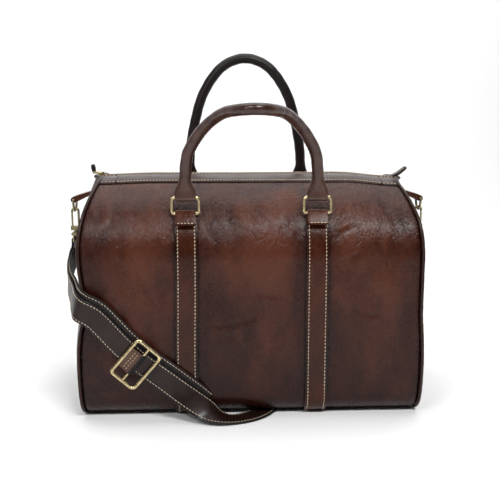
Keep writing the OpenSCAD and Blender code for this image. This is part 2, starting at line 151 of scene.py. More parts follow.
def quads(rows, cols, start=0, wrap_rows=False, wrap_cols=False, flip=False):
    faces = []
    for i in range(rows if wrap_rows else rows - 1):
        for j in range(cols if wrap_cols else cols - 1):
            a = start + i * cols + j
            b = start + i * cols + (j + 1) % cols
            c = start + ((i + 1) % rows) * cols + (j + 1) % cols
            d = start + ((i + 1) % rows) * cols + j
            faces.append((a, d, c, b) if flip else (a, b, c, d))
    return faces


def rim(rows, cols):
    """Faces that join the edges of two grids of the same size, one over the other."""
    loop = list(range(cols))
    loop += [i * cols + cols - 1 for i in range(1, rows)]
    loop += [(rows - 1) * cols + j for j in range(cols - 2, -1, -1)]
    loop += [i * cols for i in range(rows - 2, 0, -1)]
    count = rows * cols
    return [(a, count + a, count + b, b) for a, b in zip(loop, loop[1:] + loop[:1])]


def shell(name, outer, inner, tone=None, **how):
    """Closed sheet between two grids of points."""
    rows, cols = outer.shape[:2]
    faces = quads(rows, cols) + quads(rows, cols, rows * cols, flip=True) + rim(rows, cols)
    verts = np.concatenate([outer.reshape(-1, 3), inner.reshape(-1, 3)])
    if tone is not None:
        tone = np.concatenate([tone.ravel(), tone.ravel()])
    return put(name, verts, faces, tone=tone, **how)


def tube_faces(rows, cols):
    """Faces of a solid whose rows are closed rings, with a cap on each end."""
    caps = [tuple(range(cols))[::-1], tuple((rows - 1) * cols + j for j in range(cols))]
    return quads(rows, cols, 0, False, True) + caps


def disc_shell(rows, cols, flip):
    """Faces of two ringed grids, the second behind the first, joined round their outer ring."""
    count = rows * cols
    faces = quads(rows, cols, 0, False, True, flip=flip)
    faces += quads(rows, cols, count, False, True, flip=not flip)
    ring = [(count - cols + j, count - cols + (j + 1) % cols) for j in range(cols)]
    return faces + [(a, b, count + b, count + a) for a, b in ring]


def sweep(name, places, across, out, sections, closed=False, tone=None, **how):
    """Solid swept along places. sections holds one (across, out) outline, or one for each place."""
    places = np.asarray(places, float)
    sections = np.asarray(sections, float)
    if sections.ndim == 2:
        sections = np.repeat(sections[None], len(places), axis=0)
    grid = places[:, None] + across[:, None] * sections[:, :, :1] + out[:, None] * sections[:, :, 1:]
    rows, cols = grid.shape[:2]
    faces = quads(rows, cols, 0, True, True) if closed else tube_faces(rows, cols)
    return put(name, grid, faces, tone=tone, **how)


def frames(places, out):
    """Unit vectors along, across and out at each place of a path, from rough outward directions."""
    places = np.asarray(places, float)
    along = unit(np.gradient(places, axis=0))
    across = unit(np.cross(along, out))
    return along, across, np.cross(across, along)


def flat_section(width, thick, edge, crown=0.0):
    """Outline of a flat strap with rounded edges and a slight crown on its outer face."""
    corners = [(-1, -1, 180), (1, -1, 270), (1, 1, 0), (-1, 1, 90)]
    points = []
    for side, face, first in corners:
        middle = np.array([side * (width / 2 - edge), face * (thick / 2 - edge)])
        for turn in (0, 22.5, 45, 67.5, 90):
            a = math.radians(first + turn)
            points.append(middle + edge * np.array([math.cos(a), math.sin(a)]))
        if face > 0 and side > 0:
            for share in (0.72, 0.4, 0.0, -0.4, -0.72):
                points.append(np.array([share * width / 2, thick / 2 + crown * (1 - share ** 2)]))
        if face < 0 and side < 0:
            for share in (-0.6, 0.0, 0.6):
                points.append(np.array([share * width / 2, -thick / 2]))
    return np.array(points)


def round_section(radius, sides):
    a = np.arange(sides) / sides * 2 * math.pi
    return radius * np.stack([np.cos(a), np.sin(a)], 1)


def run_along(path):
    """Distance from the start of a path to each of its points."""
    return np.concatenate([[0], np.cumsum(np.linalg.norm(np.diff(path, axis=0), axis=1))])


def stitches(name, path, out, body, pitch=4.6, length=3.3, radius=0.52, slant=9.0, thread=None):
    """A row of sewn stitches along a path that lies on the leather."""
    path = np.asarray(path, float)
    out = unit(out)
    run = run_along(path)
    count = max(1, int(run[-1] / pitch))
    want = (np.arange(count) + 0.5) * run[-1] / count

    def at(distance, values):
        return np.stack([np.interp(distance, run, values[:, k]) for k in range(3)], 1)

    middle = at(want, path)
    up = unit(at(want, out))
    along = unit(at(want + 0.5, path) - at(want - 0.5, path))
    side = unit(np.cross(along, up))
    turn = math.radians(slant)
    cos, sin = math.cos(turn), math.sin(turn)
    along, side = along * cos + side * sin, side * cos - along * sin
    half = [(0.0, 0.45, 1.0), (0.34, 0.25, 0.9), (0.5, -0.5, 0.35)]
    shares = [(-share, lift, fat) for share, lift, fat in half[:0:-1]] + half
    sides = 6
    rings = []
    for share, lift, fat in shares:
        for k in range(sides):
            a = 2 * math.pi * k / sides
            rings.append(middle + along * (share * length) + up * (radius * (lift + fat * math.sin(a)))
                         + side * (radius * fat * math.cos(a)))
    verts = np.stack(rings, 1)
    per = len(shares) * sides
    one = quads(len(shares), sides, 0, False, True, flip=True)
    one += [tuple(range(sides)), tuple(per - 1 - k for k in range(sides))]
    faces = [tuple(i * per + v for v in f) for i in range(count) for f in one]
    return put(name, verts.reshape(-1, 3), faces, body, thread or THREAD)


# ---------- materials ----------

class Nodes:
    """Short way to build a material's nodes."""

    def __init__(self, name):
        self.material = bpy.data.materials.new(name)
        self.material.use_nodes = True
        self.tree = self.material.node_tree
        self.shader = self.tree.nodes["Principled BSDF"]
        self.colour = self.shader.inputs["Base Color"]
        self.rough = self.shader.inputs["Roughness"]
        self.place = self.add("ShaderNodeTexCoord").outputs["Object"]

    def add(self, kind, inputs=(), **values):
        """New node with some settings, and pairs of an input and its value."""
        node = self.tree.nodes.new(kind)
        for key, value in values.items():
            setattr(node, key, value)
        for key, value in inputs:
            node.inputs[key].default_value = value
        return node

    def link(self, a, b):
        self.tree.links.new(a, b)

    def noise(self, scale, detail=4.0, rough=0.55, stretch=None, warp=0.0):
        node = self.add("ShaderNodeTexNoise", [("Scale", scale), ("Detail", detail), ("Roughness", rough),
                                               ("Distortion", warp)])
        self.link(self.stretched(stretch), node.inputs["Vector"])
        return node.outputs["Fac"]

    def cells(self, scale, place=None):
        """Distance to the edge of the nearest cell."""
        node = self.add("ShaderNodeTexVoronoi", [("Scale", scale)], feature="DISTANCE_TO_EDGE")
        self.link(place or self.place, node.inputs["Vector"])
        return node.outputs["Distance"]

    def wave(self, scale, direction):
        node = self.add("ShaderNodeTexWave", [("Scale", scale)], bands_direction=direction)
        self.link(self.place, node.inputs["Vector"])
        return node.outputs["Fac"]

    def crinkles(self, scale, stretch=None):
        """A warped network of fine creases, from 0 in a crease to 1 between them."""
        bend = self.add("ShaderNodeTexNoise", [("Scale", scale * 0.8), ("Detail", 3.0)])
        self.link(self.stretched(stretch), bend.inputs["Vector"])
        shift = self.add("ShaderNodeVectorMath", [(1, (0.9 / scale,) * 3)], operation="MULTIPLY_ADD")
        self.link(bend.outputs["Color"], shift.inputs[0])
        self.link(self.stretched(stretch), shift.inputs[2])
        return self.spread(self.cells(scale, shift.outputs[0]), 0.0, 0.16)

    def stretched(self, stretch):
        if stretch is None:
            return self.place
        node = self.add("ShaderNodeMapping", [("Scale", stretch)])
        self.link(self.place, node.inputs["Vector"])
        return node.outputs["Vector"]

    def spread(self, value, low, high, to_low=0.0, to_high=1.0):
        node = self.add("ShaderNodeMapRange", [("From Min", low), ("From Max", high), ("To Min", to_low),
                                               ("To Max", to_high)])
        self.link(value, node.inputs["Value"])
        return node.outputs["Result"]

    def sum(self, *terms):
        """Sum of (value, weight) pairs."""
        total = None
        for value, weight in terms:
            node = self.add("ShaderNodeMath", [(1, weight), (2, 0.0)], operation="MULTIPLY_ADD")
            self.link(value, node.inputs[0])
            if total:
                self.link(total, node.inputs[2])
            total = node.outputs[0]
        return total

    def ramp(self, value, stops):
        node = self.add("ShaderNodeValToRGB")
        band = node.color_ramp
        while len(band.elements) < len(stops):
            band.elements.new(0.5)
        for element, (where, colour) in zip(band.elements, stops):
            element.position = where
            element.color = (*colour, 1.0)
        self.link(value, node.inputs["Fac"])
        return node.outputs["Color"]

    def height(self):
        """Height above the floor, in metres."""
        node = self.add("ShaderNodeSeparateXYZ")
        self.link(self.place, node.inputs[0])
        return node.outputs["Z"]

    def tone(self):
        node = self.add("ShaderNodeAttribute", attribute_name="tone")
        return node.outputs["Fac"]

    def bump(self, *layers):
        """Layers of (height, strength, distance), finest first."""
        normal = None
        for value, strength, distance in layers:
            node = self.add("ShaderNodeBump", [("Strength", strength), ("Distance", distance)])
            self.link(value, node.inputs["Height"])
            if normal:
                self.link(normal, node.inputs["Normal"])
            normal = node.outputs["Normal"]
        self.link(normal, self.shader.inputs["Normal"])

    def set(self, **values):
        for key, value in values.items():
            self.shader.inputs[key.replace("_", " ")].default_value = value


def leather(name, deep, middle, light, mottle=14.0, low_shade=0.0, shine=(0.27, 0.46), coat=0.05,
            creases=0.5, tone_weight=0.9, stretch=(1.0, 1.0, 0.55)):
    """Glossy pull-up leather: cloudy dye, a fine grain and fine creases; painted shade is mixed into the
    colour from the tone attribute and from height, darker towards the floor.
    """
    n = Nodes(name)
    clouds = n.noise(mottle, 6.0, 0.6, stretch, 0.6)
    patches = n.noise(mottle * 3.7, 5.0, 0.6, stretch, 0.3)
    # dye clouds plus painted shade: the tone attribute, and a darkening towards the floor as light falls from
    # above
    dye_and_shade = n.sum((clouds, 0.62), (patches, 0.38), (n.tone(), tone_weight), (n.height(), low_shade))
    middle_at = 0.5 * (1 + tone_weight) + low_shade * 0.16
    dye_and_shade = n.spread(dye_and_shade, middle_at - 0.42, middle_at + 0.42)
    n.link(n.ramp(dye_and_shade, [(0.12, deep), (0.5, middle), (0.92, light)]), n.colour)
    gloss = n.sum((patches, 0.7), (n.noise(380.0, 3.0), 0.3))
    n.link(n.spread(gloss, 0.3, 0.7, *shine), n.rough)
    grain = n.cells(950.0)
    pebbles = n.spread(grain, 0.0, 0.25)
    folds = n.noise(70.0, 6.0, 0.62, (1.6, 1.6, 0.5), 1.6)
    lines = n.crinkles(150.0, (1.15, 1.15, 0.6))
    cracks = n.crinkles(330.0, (1.0, 1.0, 0.7))
    n.bump((pebbles, 0.5, 0.00004), (cracks, creases, 0.00009), (lines, creases, 0.00022),
           (folds, creases, 0.0013))
    n.set(Coat_Weight=coat, Coat_Roughness=0.22, Specular_IOR_Level=0.22)
    return n.material


def cloth(name, colour, light, scale=1500.0):
    n = Nodes(name)
    threads = n.sum((n.wave(scale / 6, "X"), 0.5), (n.wave(scale / 6, "Z"), 0.5))
    fleck = n.sum((threads, 0.6), (n.noise(45.0), 0.5))
    n.link(n.ramp(n.spread(fleck, 0.2, 0.9), [(0.0, colour), (1.0, light)]), n.colour)
    n.link(n.spread(n.noise(90.0), 0.3, 0.7, 0.75, 0.95), n.rough)
    n.bump((threads, 0.4, 0.0003))
    n.set(Sheen_Weight=0.25)
    return n.material


def metal(name, colour, dark, shine=(0.18, 0.34), wear=0.35):
    n = Nodes(name)
    tarnish = n.noise(160.0, 5.0, 0.65)
    fine = n.noise(900.0, 3.0)
    shade = n.spread(tarnish, 0.42, 0.42 + wear)
    n.link(n.ramp(shade, [(0.0, colour), (1.0, dark)]), n.colour)
    n.link(n.spread(n.sum((tarnish, 0.6), (fine, 0.4)), 0.3, 0.7, *shine), n.rough)
    n.bump((fine, 0.08, 0.0002))
    n.set(Metallic=1.0)
    return n.material


def thread_material(name, colour, shade):
    n = Nodes(name)
    ply = n.wave(700.0, "DIAGONAL")
    mix = n.sum((ply, 0.35), (n.noise(60.0), 0.65))
    n.link(n.ramp(n.spread(mix, 0.25, 0.75), [(0.0, shade), (1.0, colour)]), n.colour)
    n.link(n.spread(n.noise(300.0), 0.3, 0.7, 0.5, 0.7), n.rough)
    n.bump((ply, 0.5, 0.0002))
    return n.material


def board_material(name):
    n = Nodes(name)
    n.link(n.ramp(n.noise(300.0), [(0.3, (0.035, 0.032, 0.030)), (0.7, (0.07, 0.064, 0.06))]), n.colour)
    n.link(n.spread(n.noise(120.0), 0.3, 0.7, 0.6, 0.8), n.rough)
    n.bump((n.noise(900.0), 0.3, 0.0002))
    return n.material


# low_shade (low_shade) paints these leathers darker towards the floor
BODY = leather("body_leather", (0.006, 0.0018, 0.0014), (0.025, 0.0052, 0.0030), (0.078, 0.021, 0.0095),
               low_shade=1.1, shine=(0.2, 0.36), creases=0.8)
BAND = leather("band_leather", (0.008, 0.0028, 0.0020), (0.026, 0.0085, 0.0050), (0.055, 0.020, 0.012),
               mottle=30.0, creases=0.3)
TRIM = leather("trim_leather", (0.008, 0.0022, 0.0011), (0.040, 0.0086, 0.0026), (0.082, 0.021, 0.0065),
               mottle=22.0, creases=0.25, shine=(0.2, 0.34), low_shade=0.6)
HANDLE = leather("handle_leather", (0.010, 0.004, 0.003), (0.036, 0.013, 0.009), (0.085, 0.036, 0.024),
                 mottle=26.0, creases=0.35, shine=(0.24, 0.38), coat=0.5)
# painted shade: the back handle gets a darker copy of the handle leather
SHADED_BACK_HANDLE = leather("back_handle_shaded_leather", (0.003, 0.002, 0.002), (0.009, 0.005, 0.0045),
                      (0.022, 0.012, 0.010), mottle=26.0, creases=0.35, shine=(0.28, 0.44))
STRAP = leather("strap_leather", (0.003, 0.0012, 0.001), (0.011, 0.0042, 0.0032), (0.032, 0.014, 0.010),
                mottle=24.0, creases=0.22, shine=(0.34, 0.5), coat=0.2)
DARK = leather("dark_leather", (0.004, 0.003, 0.003), (0.009, 0.006, 0.006), (0.02, 0.014, 0.013),
               mottle=30.0, creases=0.25, shine=(0.45, 0.62), coat=0.1)
PIPING = leather("piping_leather", (0.008, 0.003, 0.0025), (0.024, 0.009, 0.006), (0.06, 0.025, 0.017),
                 mottle=30.0, creases=0.2, shine=(0.28, 0.42))
# painted highlight: a lighter copy of the strap leather for the strap end where it bulges over the buckle bar
LIT_FOLD = leather("lit_fold_leather", (0.006, 0.004, 0.004), (0.045, 0.022, 0.016), (0.11, 0.06, 0.042),
               mottle=30.0, creases=0.2, shine=(0.3, 0.42), tone_weight=1.5)
THREAD = thread_material("cream_thread", (0.78, 0.66, 0.50), (0.52, 0.40, 0.28))
DARK_THREAD = thread_material("brown_thread", (0.12, 0.06, 0.04), (0.04, 0.02, 0.015))
BRASS = metal("pale_brass", (0.66, 0.54, 0.31), (0.30, 0.235, 0.12))
ANTIQUE = metal("antique_brass", (0.42, 0.36, 0.20), (0.13, 0.105, 0.06), (0.22, 0.42))
TEETH = metal("gold_teeth", (0.78, 0.55, 0.24), (0.36, 0.24, 0.11), (0.25, 0.4))
LINING = cloth("lining_cotton", (0.035, 0.028, 0.024), (0.085, 0.070, 0.058))
TAPE = cloth("zip_tape_weave", (0.030, 0.022, 0.018), (0.075, 0.056, 0.045), 2600.0)
BOARD = board_material("base_board_fibre")

# ---------- outline of the body ----------


def outline(distance, offset=0.0, first=SEAM_A):
    """Place (y, z) and outward direction at a distance from angle first, down the front and up the back."""
    distance = np.asarray(distance, float)
    marks = np.cumsum([SHOULDER_R * first, SHOULDER[1] - CORNER[1], BASE_R * math.pi / 2])
    half = marks[-1] + abs(CORNER[0])
    back = distance > half
    s = np.where(back, 2 * half - distance, distance)
    a = first - np.clip(s, None, marks[0]) / SHOULDER_R
    b = np.clip((s - marks[1]) / BASE_R, 0, math.pi / 2)
    normal = np.where((s < marks[1])[..., None], np.stack([-np.cos(a), np.sin(a)], -1),
                      np.stack([-np.cos(b), -np.sin(b)], -1))
    on_arc = SHOULDER + SHOULDER_R * np.stack([-np.cos(a), np.sin(a)], -1)
    on_side = np.stack([np.full_like(s, -HALF_D), SHOULDER[1] - (s - marks[0])], -1)
    on_corner = CORNER + BASE_R * np.stack([-np.cos(b), -np.sin(b)], -1)
    on_base = np.stack([CORNER[0] + (s - marks[2]), np.full_like(s, BASE_Z)], -1)
    place = np.where((s < marks[0])[..., None], on_arc, on_side)
    place = np.where((s >= marks[1])[..., None], on_corner, place)
    place = np.where((s >= marks[2])[..., None], on_base, place)
    flip = np.where(back, -1.0, 1.0)[..., None] * np.array([1.0, 0.0]) + np.array([0.0, 1.0])
    return (place + offset * normal) * flip, normal * flip


def outline_length(first=SEAM_A):
    return 2 * (SHOULDER_R * first + SHOULDER[1] - CORNER[1] + BASE_R * math.pi / 2 + abs(CORNER[0]))


RUN = outline_length()
TOP_RUN = outline_length(math.pi / 2)
BASE_FROM = SHOULDER_R * SEAM_A + SHOULDER[1] - CORNER[1]
RING_RUN = SHOULDER_R * (SEAM_A - math.asin((LOW_BAR - SHOULDER[1]) / (SHOULDER_R + 7.2)))

# creases pressed into the leather: place along x, distance down the panel, angle, length, depth
CREASES = [(-196, 52, 84, 60, 1.3), (-181, 66, 99, 74, 1.1), (-168, 96, 78, 66, 0.9),
           (-150, 70, 95, 52, 0.6), (-204, 108, 88, 70, 1.0), (-138, 150, 82, 80, 0.7),
           (-60, 72, 63, 74, 0.9), (-48, 96, 52, 60, 0.7), (-30, 60, 100, 46, 0.6),
           (44, 66, 105, 58, 0.8), (56, 92, 118, 46, 0.7), (118, 88, 152, 62, 1.3),
           (138, 112, 160, 74, 0.8), (176, 58, 72, 58, 0.8), (196, 84, 80, 70, 1.0),
           (20, 168, 12, 90, 0.5), (-20, 200, -8, 110, 0.5), (150, 190, 20, 80, 0.5)]


def body_swell(x, distance):
    """How far the body leather stands out from its plain shape, in mm."""
    x, distance = np.broadcast_arrays(np.asarray(x, float), np.asarray(distance, float))
    front = np.minimum(distance, RUN - distance)
    face = np.where(distance > RUN / 2, 500.0, 0.0)
    at = np.stack([x, face, front], -1)
    ends = smooth((HALF_W - np.abs(x)) / 34)
    top = smooth(front / 26)
    base = 1 - smooth((front - BASE_FROM + 6) / 30)
    sewn = 0.25 + 0.75 * smooth((np.abs(np.abs(x) - STRIP_X) - 13) / 20)
    fields = np.cos(np.clip((np.abs(x) - STRIP_X) / (HALF_W - STRIP_X), 0, 1) * math.pi - math.pi / 2)
    middle = np.cos(np.clip(np.abs(x) / STRIP_X, 0, 1) * math.pi / 2)
    swell = 1.5 * np.maximum(fields, middle) * smooth(front / 120)
    swell = swell + 1.7 * waves(at * [1, 1, 0.8], 95, 1, 2)
    ripples = 1.1 * waves(at * [1.7, 1, 0.55], 38, 2, 3)
    swell = swell + ripples * (0.5 + 0.5 * smooth((210 - front) / 120))
    ridges = 1 - 2 * np.abs(waves(at * [1.5, 1, 0.6], 46, 3, 2))
    swell = swell + 0.7 * ridges
    for behind in (False, True):
        mirrored = -x if behind else x
        on_face = (distance > RUN / 2) == behind
        for cx, cs, angle, length, depth in CREASES:
            a = math.radians(angle)
            dx, ds = mirrored - cx, front - cs
            along = dx * math.cos(a) + ds * math.sin(a)
            aside = -dx * math.sin(a) + ds * math.cos(a) + 3.0 * np.sin(along / 17 + cx)
            taper = smooth(1 - np.abs(along) / (length / 2))
            groove = np.exp(-(aside / 3.2) ** 2) - 0.62 * np.exp(-((aside - 6.5) / 4.2) ** 2)
            swell = swell - on_face * depth * taper * groove
    seam = -1.5 * (1 - smooth((HALF_W - np.abs(x)) / 6)) - 1.0 * (1 - smooth(front / 4))
    return swell * ends * top * base * sewn + seam


def body_shade_tone(x, distance, swell):
    """Painted shade: lighter on raised swells, darker in hollows and creases, beside the strip edges and near
    the end seams; lighter along the rounded base edge. The painted darkening low down comes from the leather
    material.
    """
    front = np.minimum(distance, RUN - distance)
    shade_tone = 0.5 + 0.09 * swell
    shade_tone = shade_tone + 0.16 * np.exp(-((front - BASE_FROM - 22) / 10) ** 2)
    shade_tone = shade_tone - 0.16 * np.exp(-((np.abs(np.abs(x) - STRIP_X) - STRIP_W / 2) / 3.0) ** 2)
    shade_tone = shade_tone - 0.20 * (1 - smooth((HALF_W - np.abs(x)) / 5))
    return np.clip(shade_tone, 0.05, 0.95)


def slump(points):
    """The bag as it stands: drawn in at its top ends, wide low down, one corner pressed by the strap."""
    points = np.asarray(points, float)
    x, y, z = points[..., 0], points[..., 1], points[..., 2]
    near_end = (np.abs(x) / HALF_W) ** 5
    top = np.clip((z - 205) / 95, 0, 1.1) ** 2.4
    pinch = 18 * top * (0.45 + 0.55 * smooth((np.abs(y) - 8) / 30))
    wide = 3.5 * np.sin(np.clip(z / 135, 0, 1) * math.pi)
    press = 6 * np.exp(-((z - 152) / 34) ** 2) * smooth((-x - 150) / 60) * smooth((-y - 60) / 45)
    droop = smooth((np.abs(x) - 125) / 80) * smooth((z - 235) / 60) * np.where(x > 0, 5.5, 2.0)
    return np.stack([x + np.sign(x) * near_end * (wide - pinch) + press, y, z - droop], -1)


def on_body(x, distance, lift=0.0):
    """Point on the body leather, in mm, and the outward direction there."""
    x, distance = np.broadcast_arrays(np.asarray(x, float), np.asarray(distance, float))
    place, normal = outline(distance)
    yz = place + (body_swell(x, distance) + lift)[..., None] * normal
    point = slump(np.concatenate([x[..., None], yz], -1))
    return point, np.concatenate([np.zeros_like(x)[..., None], normal], -1)


def main_panel():
    step = 3.0
    xs = np.linspace(-HALF_W + 0.5, HALF_W - 0.5, int(2 * HALF_W / step))
    ss = np.linspace(0.4, RUN - 0.4, int(RUN / step))
    x, s = np.meshgrid(xs, ss, indexing="ij")
    outer, normal = on_body(x, s)
    swell = body_swell(x, s)
    shell("body_panel", outer, outer - normal * LEATHER_T, tone=body_shade_tone(x, s, swell), body="root",
          material=BODY, slot="body_leather", stands_for=["main_panel"])


def closed_outline(count, offset=0.0):
    """The whole outline from the top middle down the front and up the back, as (y, z) and directions."""
    flat = -SHOULDER[0]
    total = TOP_RUN + 2 * flat
    s = np.arange(count) / count * total
    place, normal = outline(np.clip(s - flat, 0, TOP_RUN), offset, math.pi / 2)
    place[:, 0] += np.where(s < flat, flat - s, 0) - np.where(s > flat + TOP_RUN, s - flat - TOP_RUN, 0)
    return place, normal


def end_panel(side, name):
    around, rings = 220, 30
    edge, _ = closed_outline(around, -2.0)
    r = np.linspace(0, 1, rings + 1)[1:]
    middle = np.array([0.0, BODY_H * 0.49])
    yz = middle + (edge - middle)[None] * r[:, None, None]
    swell = 10.5 * (1 - r ** 5.0)[:, None] + 0 * yz[..., 0]
    at = np.stack([np.full_like(yz[..., 0], side * 300), yz[..., 0], yz[..., 1]], -1)
    fade = smooth((1 - r) / 0.2)[:, None]
    swell = swell + fade * 1.3 * waves(at * [1, 1, 0.8], 80, 4, 2)
    swell = swell + fade * 0.5 * waves(at * [1, 1.6, 0.6], 34, 5, 3)
    low = smooth((70 - yz[..., 1]) / 70)
    swell = swell + fade * 1.6 * low
    x = side * (HALF_W + 0.4 + swell)
    outer = slump(np.concatenate([x[..., None], yz], -1))
    inner = outer - np.array([side * LEATHER_T, 0, 0])
    # painted shade: the worn term darkens a ring at the rim by the piping seam, and the swell term lightens
    # where the panel domes out
    worn = 0.22 * (1 - smooth((1 - r) / 0.05))[:, None]
    tone = np.clip(0.5 + 0.05 * (swell - 9) * fade - worn, 0.05, 0.95)
    if side > 0:
        outer, inner, tone = outer[:, ::-1], inner[:, ::-1], tone[:, ::-1]
    rows, cols = outer.shape[:2]
    count = rows * cols
    tip = outer[0].mean(0)
    tips = [tip, tip - [side * LEATHER_T, 0, 0]]
    verts = np.concatenate([outer.reshape(-1, 3), inner.reshape(-1, 3), tips])
    centre = 2 * count
    faces = disc_shell(rows, cols, True)
    faces += [(centre, (j + 1) % cols, j) for j in range(cols)]
    faces += [(centre + 1, count + j, count + (j + 1) % cols) for j in range(cols)]
    tones = np.concatenate([tone.ravel(), tone.ravel(), [0.55, 0.55]])
    put(name, verts, faces, "root", BODY, "body_leather", [name.replace("_skin", "")], tones)


def piping(side, name):
    place, normal = closed_outline(260, -0.1)
    x = np.full((len(place), 1), side * (HALF_W + 1.7))
    centre = slump(np.concatenate([x, place], 1))
    out = np.concatenate([np.zeros_like(x), normal], 1)
    across = np.repeat([[side * 1.0, 0, 0]], len(place), 0)
    ripple = 1 + 0.035 * np.sin(np.arange(len(place)) * 1.9) + 0.02 * np.sin(np.arange(len(place)) * 0.7)
    sections = round_section(2.15, 12)[None] * ripple[:, None, None]
    sweep(name, centre, across, out, sections, closed=True, body="root", material=PIPING,
          slot="edge_leather", stands_for=[name.replace("_cord", "")])




def strip(side, name):
    """Sewn strip that runs from the front ring under the bag to the back ring."""
    first = RING_RUN - 4
    s = np.linspace(first, RUN - first, 260)
    section = flat_section(STRIP_W, STRIP_T, 0.9, 0.25)
    x = side * STRIP_X + section[None, :, 0] + 0 * s[:, None]
    wander = 0.8 * np.sin(s / 47.0 + side) * smooth((s - first) / 40) * smooth((RUN - first - s) / 40)
    wander = wander * (side < 0)
    x = x + wander[:, None]
    under = smooth((np.minimum(s, RUN - s) - BASE_FROM) / 20)[:, None]
    lift = section[None, :, 1] + STRIP_T / 2 + 0.1
    grid, _ = on_body(x, s[:, None] + 0 * x, lift * (1 - 0.02 * under))
    edge = np.abs(section[:, 0]) > STRIP_W / 2 - 1.2
    tone = np.where(edge, 0.22, 0.52)[None] + 0.05 * np.sin(s / 23.0)[:, None]
    put(name + "_leather", grid, tube_faces(*grid.shape[:2]), "root", TRIM, "trim_leather", [name], tone)
    sewn = (s > RING_RUN + 12) & (s < RUN - RING_RUN - 12)
    for edge_side in (-1, 1):
        row_x = side * STRIP_X + edge_side * (STRIP_W / 2 - 3.8) + wander[sewn]
        path, out = on_body(row_x, s[sewn], STRIP_T + 0.2)
        stitches(f"{name}_stitch_{'in' if edge_side * side < 0 else 'out'}", path, out, "root")


def lip_surface(x, share, lift=0.0):
    """Point on the front lip at a share of the way from the seam to the zip."""
    first, last = SEAM_A + math.radians(0.3), math.pi / 2
    arc = SHOULDER_R * (last - first)
    flat = -SHOULDER[0] - ZIP_GAP / 2
    s = share * (arc + flat)
    a = np.minimum(first + s / SHOULDER_R, last)
    y = SHOULDER[0] - SHOULDER_R * np.cos(a) + np.maximum(s - arc, 0)
    z = SHOULDER[1] + SHOULDER_R * np.sin(a)
    normal = np.stack([np.zeros_like(a), -np.cos(a), np.sin(a)], -1)
    sag = -0.9 * np.sin(np.clip(share, 0, 1) * math.pi) * (0.6 + 0.4 * np.cos(x / 52.0))
    point = np.stack([x + 0 * a, y, z], -1) + normal * (sag + lift)[..., None]
    return slump(point), normal


def mirror_y(points, face):
    return points * np.array([1.0, -face * 1.0, 1.0])


def lip(face, body, name, low, high, stands_for, blended):
    """Top band of leather between the seam and the zip. face is -1 in front and 1 behind."""
    xs = np.linspace(low, high, max(6, int((high - low) / 4)))
    share = np.linspace(0, 1, 22)
    x, t = np.meshgrid(xs, share, indexing="ij")
    edge = 0.9 - 1.0 * (1 - smooth(t / 0.035)) - 1.9 * (1 - smooth((1 - t) / 0.06))
    grain = 0.25 * waves(np.stack([x, t * 50, 0 * x], -1), 24, 6, 3)
    outer, normal = lip_surface(x, t, edge + grain)
    outer, normal = mirror_y(outer, face), mirror_y(normal, face)
    # painted shade: darker along the seam edge of the band and lighter on its raised grain
    tone = np.clip(0.5 + 0.1 * grain - 0.25 * (1 - smooth(t / 0.05)), 0, 1)
    inner = outer - normal * LEATHER_T
    if face > 0:
        outer, inner, tone = outer[::-1], inner[::-1], tone[::-1]
    piece = shell(name, outer, inner, tone=tone, material=BAND, slot="body_leather", stands_for=stands_for,
                  body=None if blended else body)
    rows = [piece]
    for label, where in (("zip", 1 - 3.6 / 49), ("seam", 3.6 / 49)):
        path, out = lip_surface(np.linspace(low + 1, high - 1, 120), np.full(120, where), 1.1)
        rows.append(stitches(f"{name}_stitch_{label}", mirror_y(path, face), mirror_y(out, face),
                             None if blended else body, pitch=4.2, length=3.0, radius=0.5))
    return rows


def mouth_weights(piece):
    """Bakes the piece's placement into its mesh and reads its points in mm; no opening weights are set."""
    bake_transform(piece)
    count = len(piece.data.vertices)
    co = np.zeros(count * 3, np.float32)
    piece.data.vertices.foreach_get("co", co)
    co = co.reshape(-1, 3) / MM


def teeth(face, name):
    """One row of cast teeth along the edge of the tape."""
    pitch = 3.2
    count = int((2 * MOUTH_HALF - 6) / pitch)
    start = -count * pitch / 2 + (0.25 if face < 0 else 0.75) * pitch
    z_low, z_high = BODY_H - 3.6, BODY_H - 0.5
    profile = [(0.25, 0.55), (0.75, 0.85), (1.7, 0.6), (3.6, 0.75)]
    corners = [(-1, z_low + 0.3), (-0.7, z_low), (0.7, z_low), (1, z_low + 0.3),
               (1, z_high - 0.4), (0.6, z_high), (-0.6, z_high), (-1, z_high - 0.4)]
    ring = len(corners)
    verts, faces = [], []
    for i in range(count):
        x = start + i * pitch
        base = len(verts)
        for y, half in profile:
            verts += [(x + half * share, face * y, z) for share, z in corners]
        faces += quads(len(profile), ring, base, False, True, flip=face < 0)
        caps = [tuple(base + k for k in range(ring)),
                tuple(base + (len(profile) - 1) * ring + k for k in reversed(range(ring)))]
        faces += caps if face < 0 else [c[::-1] for c in caps]
    piece = put(name, slump(np.array(verts)), faces, None, TEETH, "brass", [name.replace("_cast", "")])
    mouth_weights(piece)


def tape(face, name):
    xs = np.linspace(-MOUTH_HALF, MOUTH_HALF, 100)
    ys = np.linspace(18.5, 2.6, 8)
    x, y = np.meshgrid(xs, ys, indexing="ij")
    z = BODY_H - 2.9 + 0.15 * np.sin(x / 9.0) * (y > 8) - 0.4 * smooth((8 - y) / 5)
    outer = slump(np.stack([x, face * y, z], -1))
    inner = outer - np.array([0, 0, 0.7])
    if face > 0:
        outer, inner = outer[::-1], inner[::-1]
    piece = shell(name, outer, inner, material=TAPE, slot="lining_fabric",
                  stands_for=[name.replace("_woven", "")])
    mouth_weights(piece)
    path = slump(np.stack([xs, np.full_like(xs, face * 3.2), np.full_like(xs, BODY_H - 2.9)], 1))
    out = np.repeat([[0.0, 0.0, 1.0]], len(xs), 0)
    _, across, up = frames(path, out)
    cord = sweep(name + "_cord", path, across, up, round_section(0.8, 8), material=TAPE)
    mouth_weights(cord)


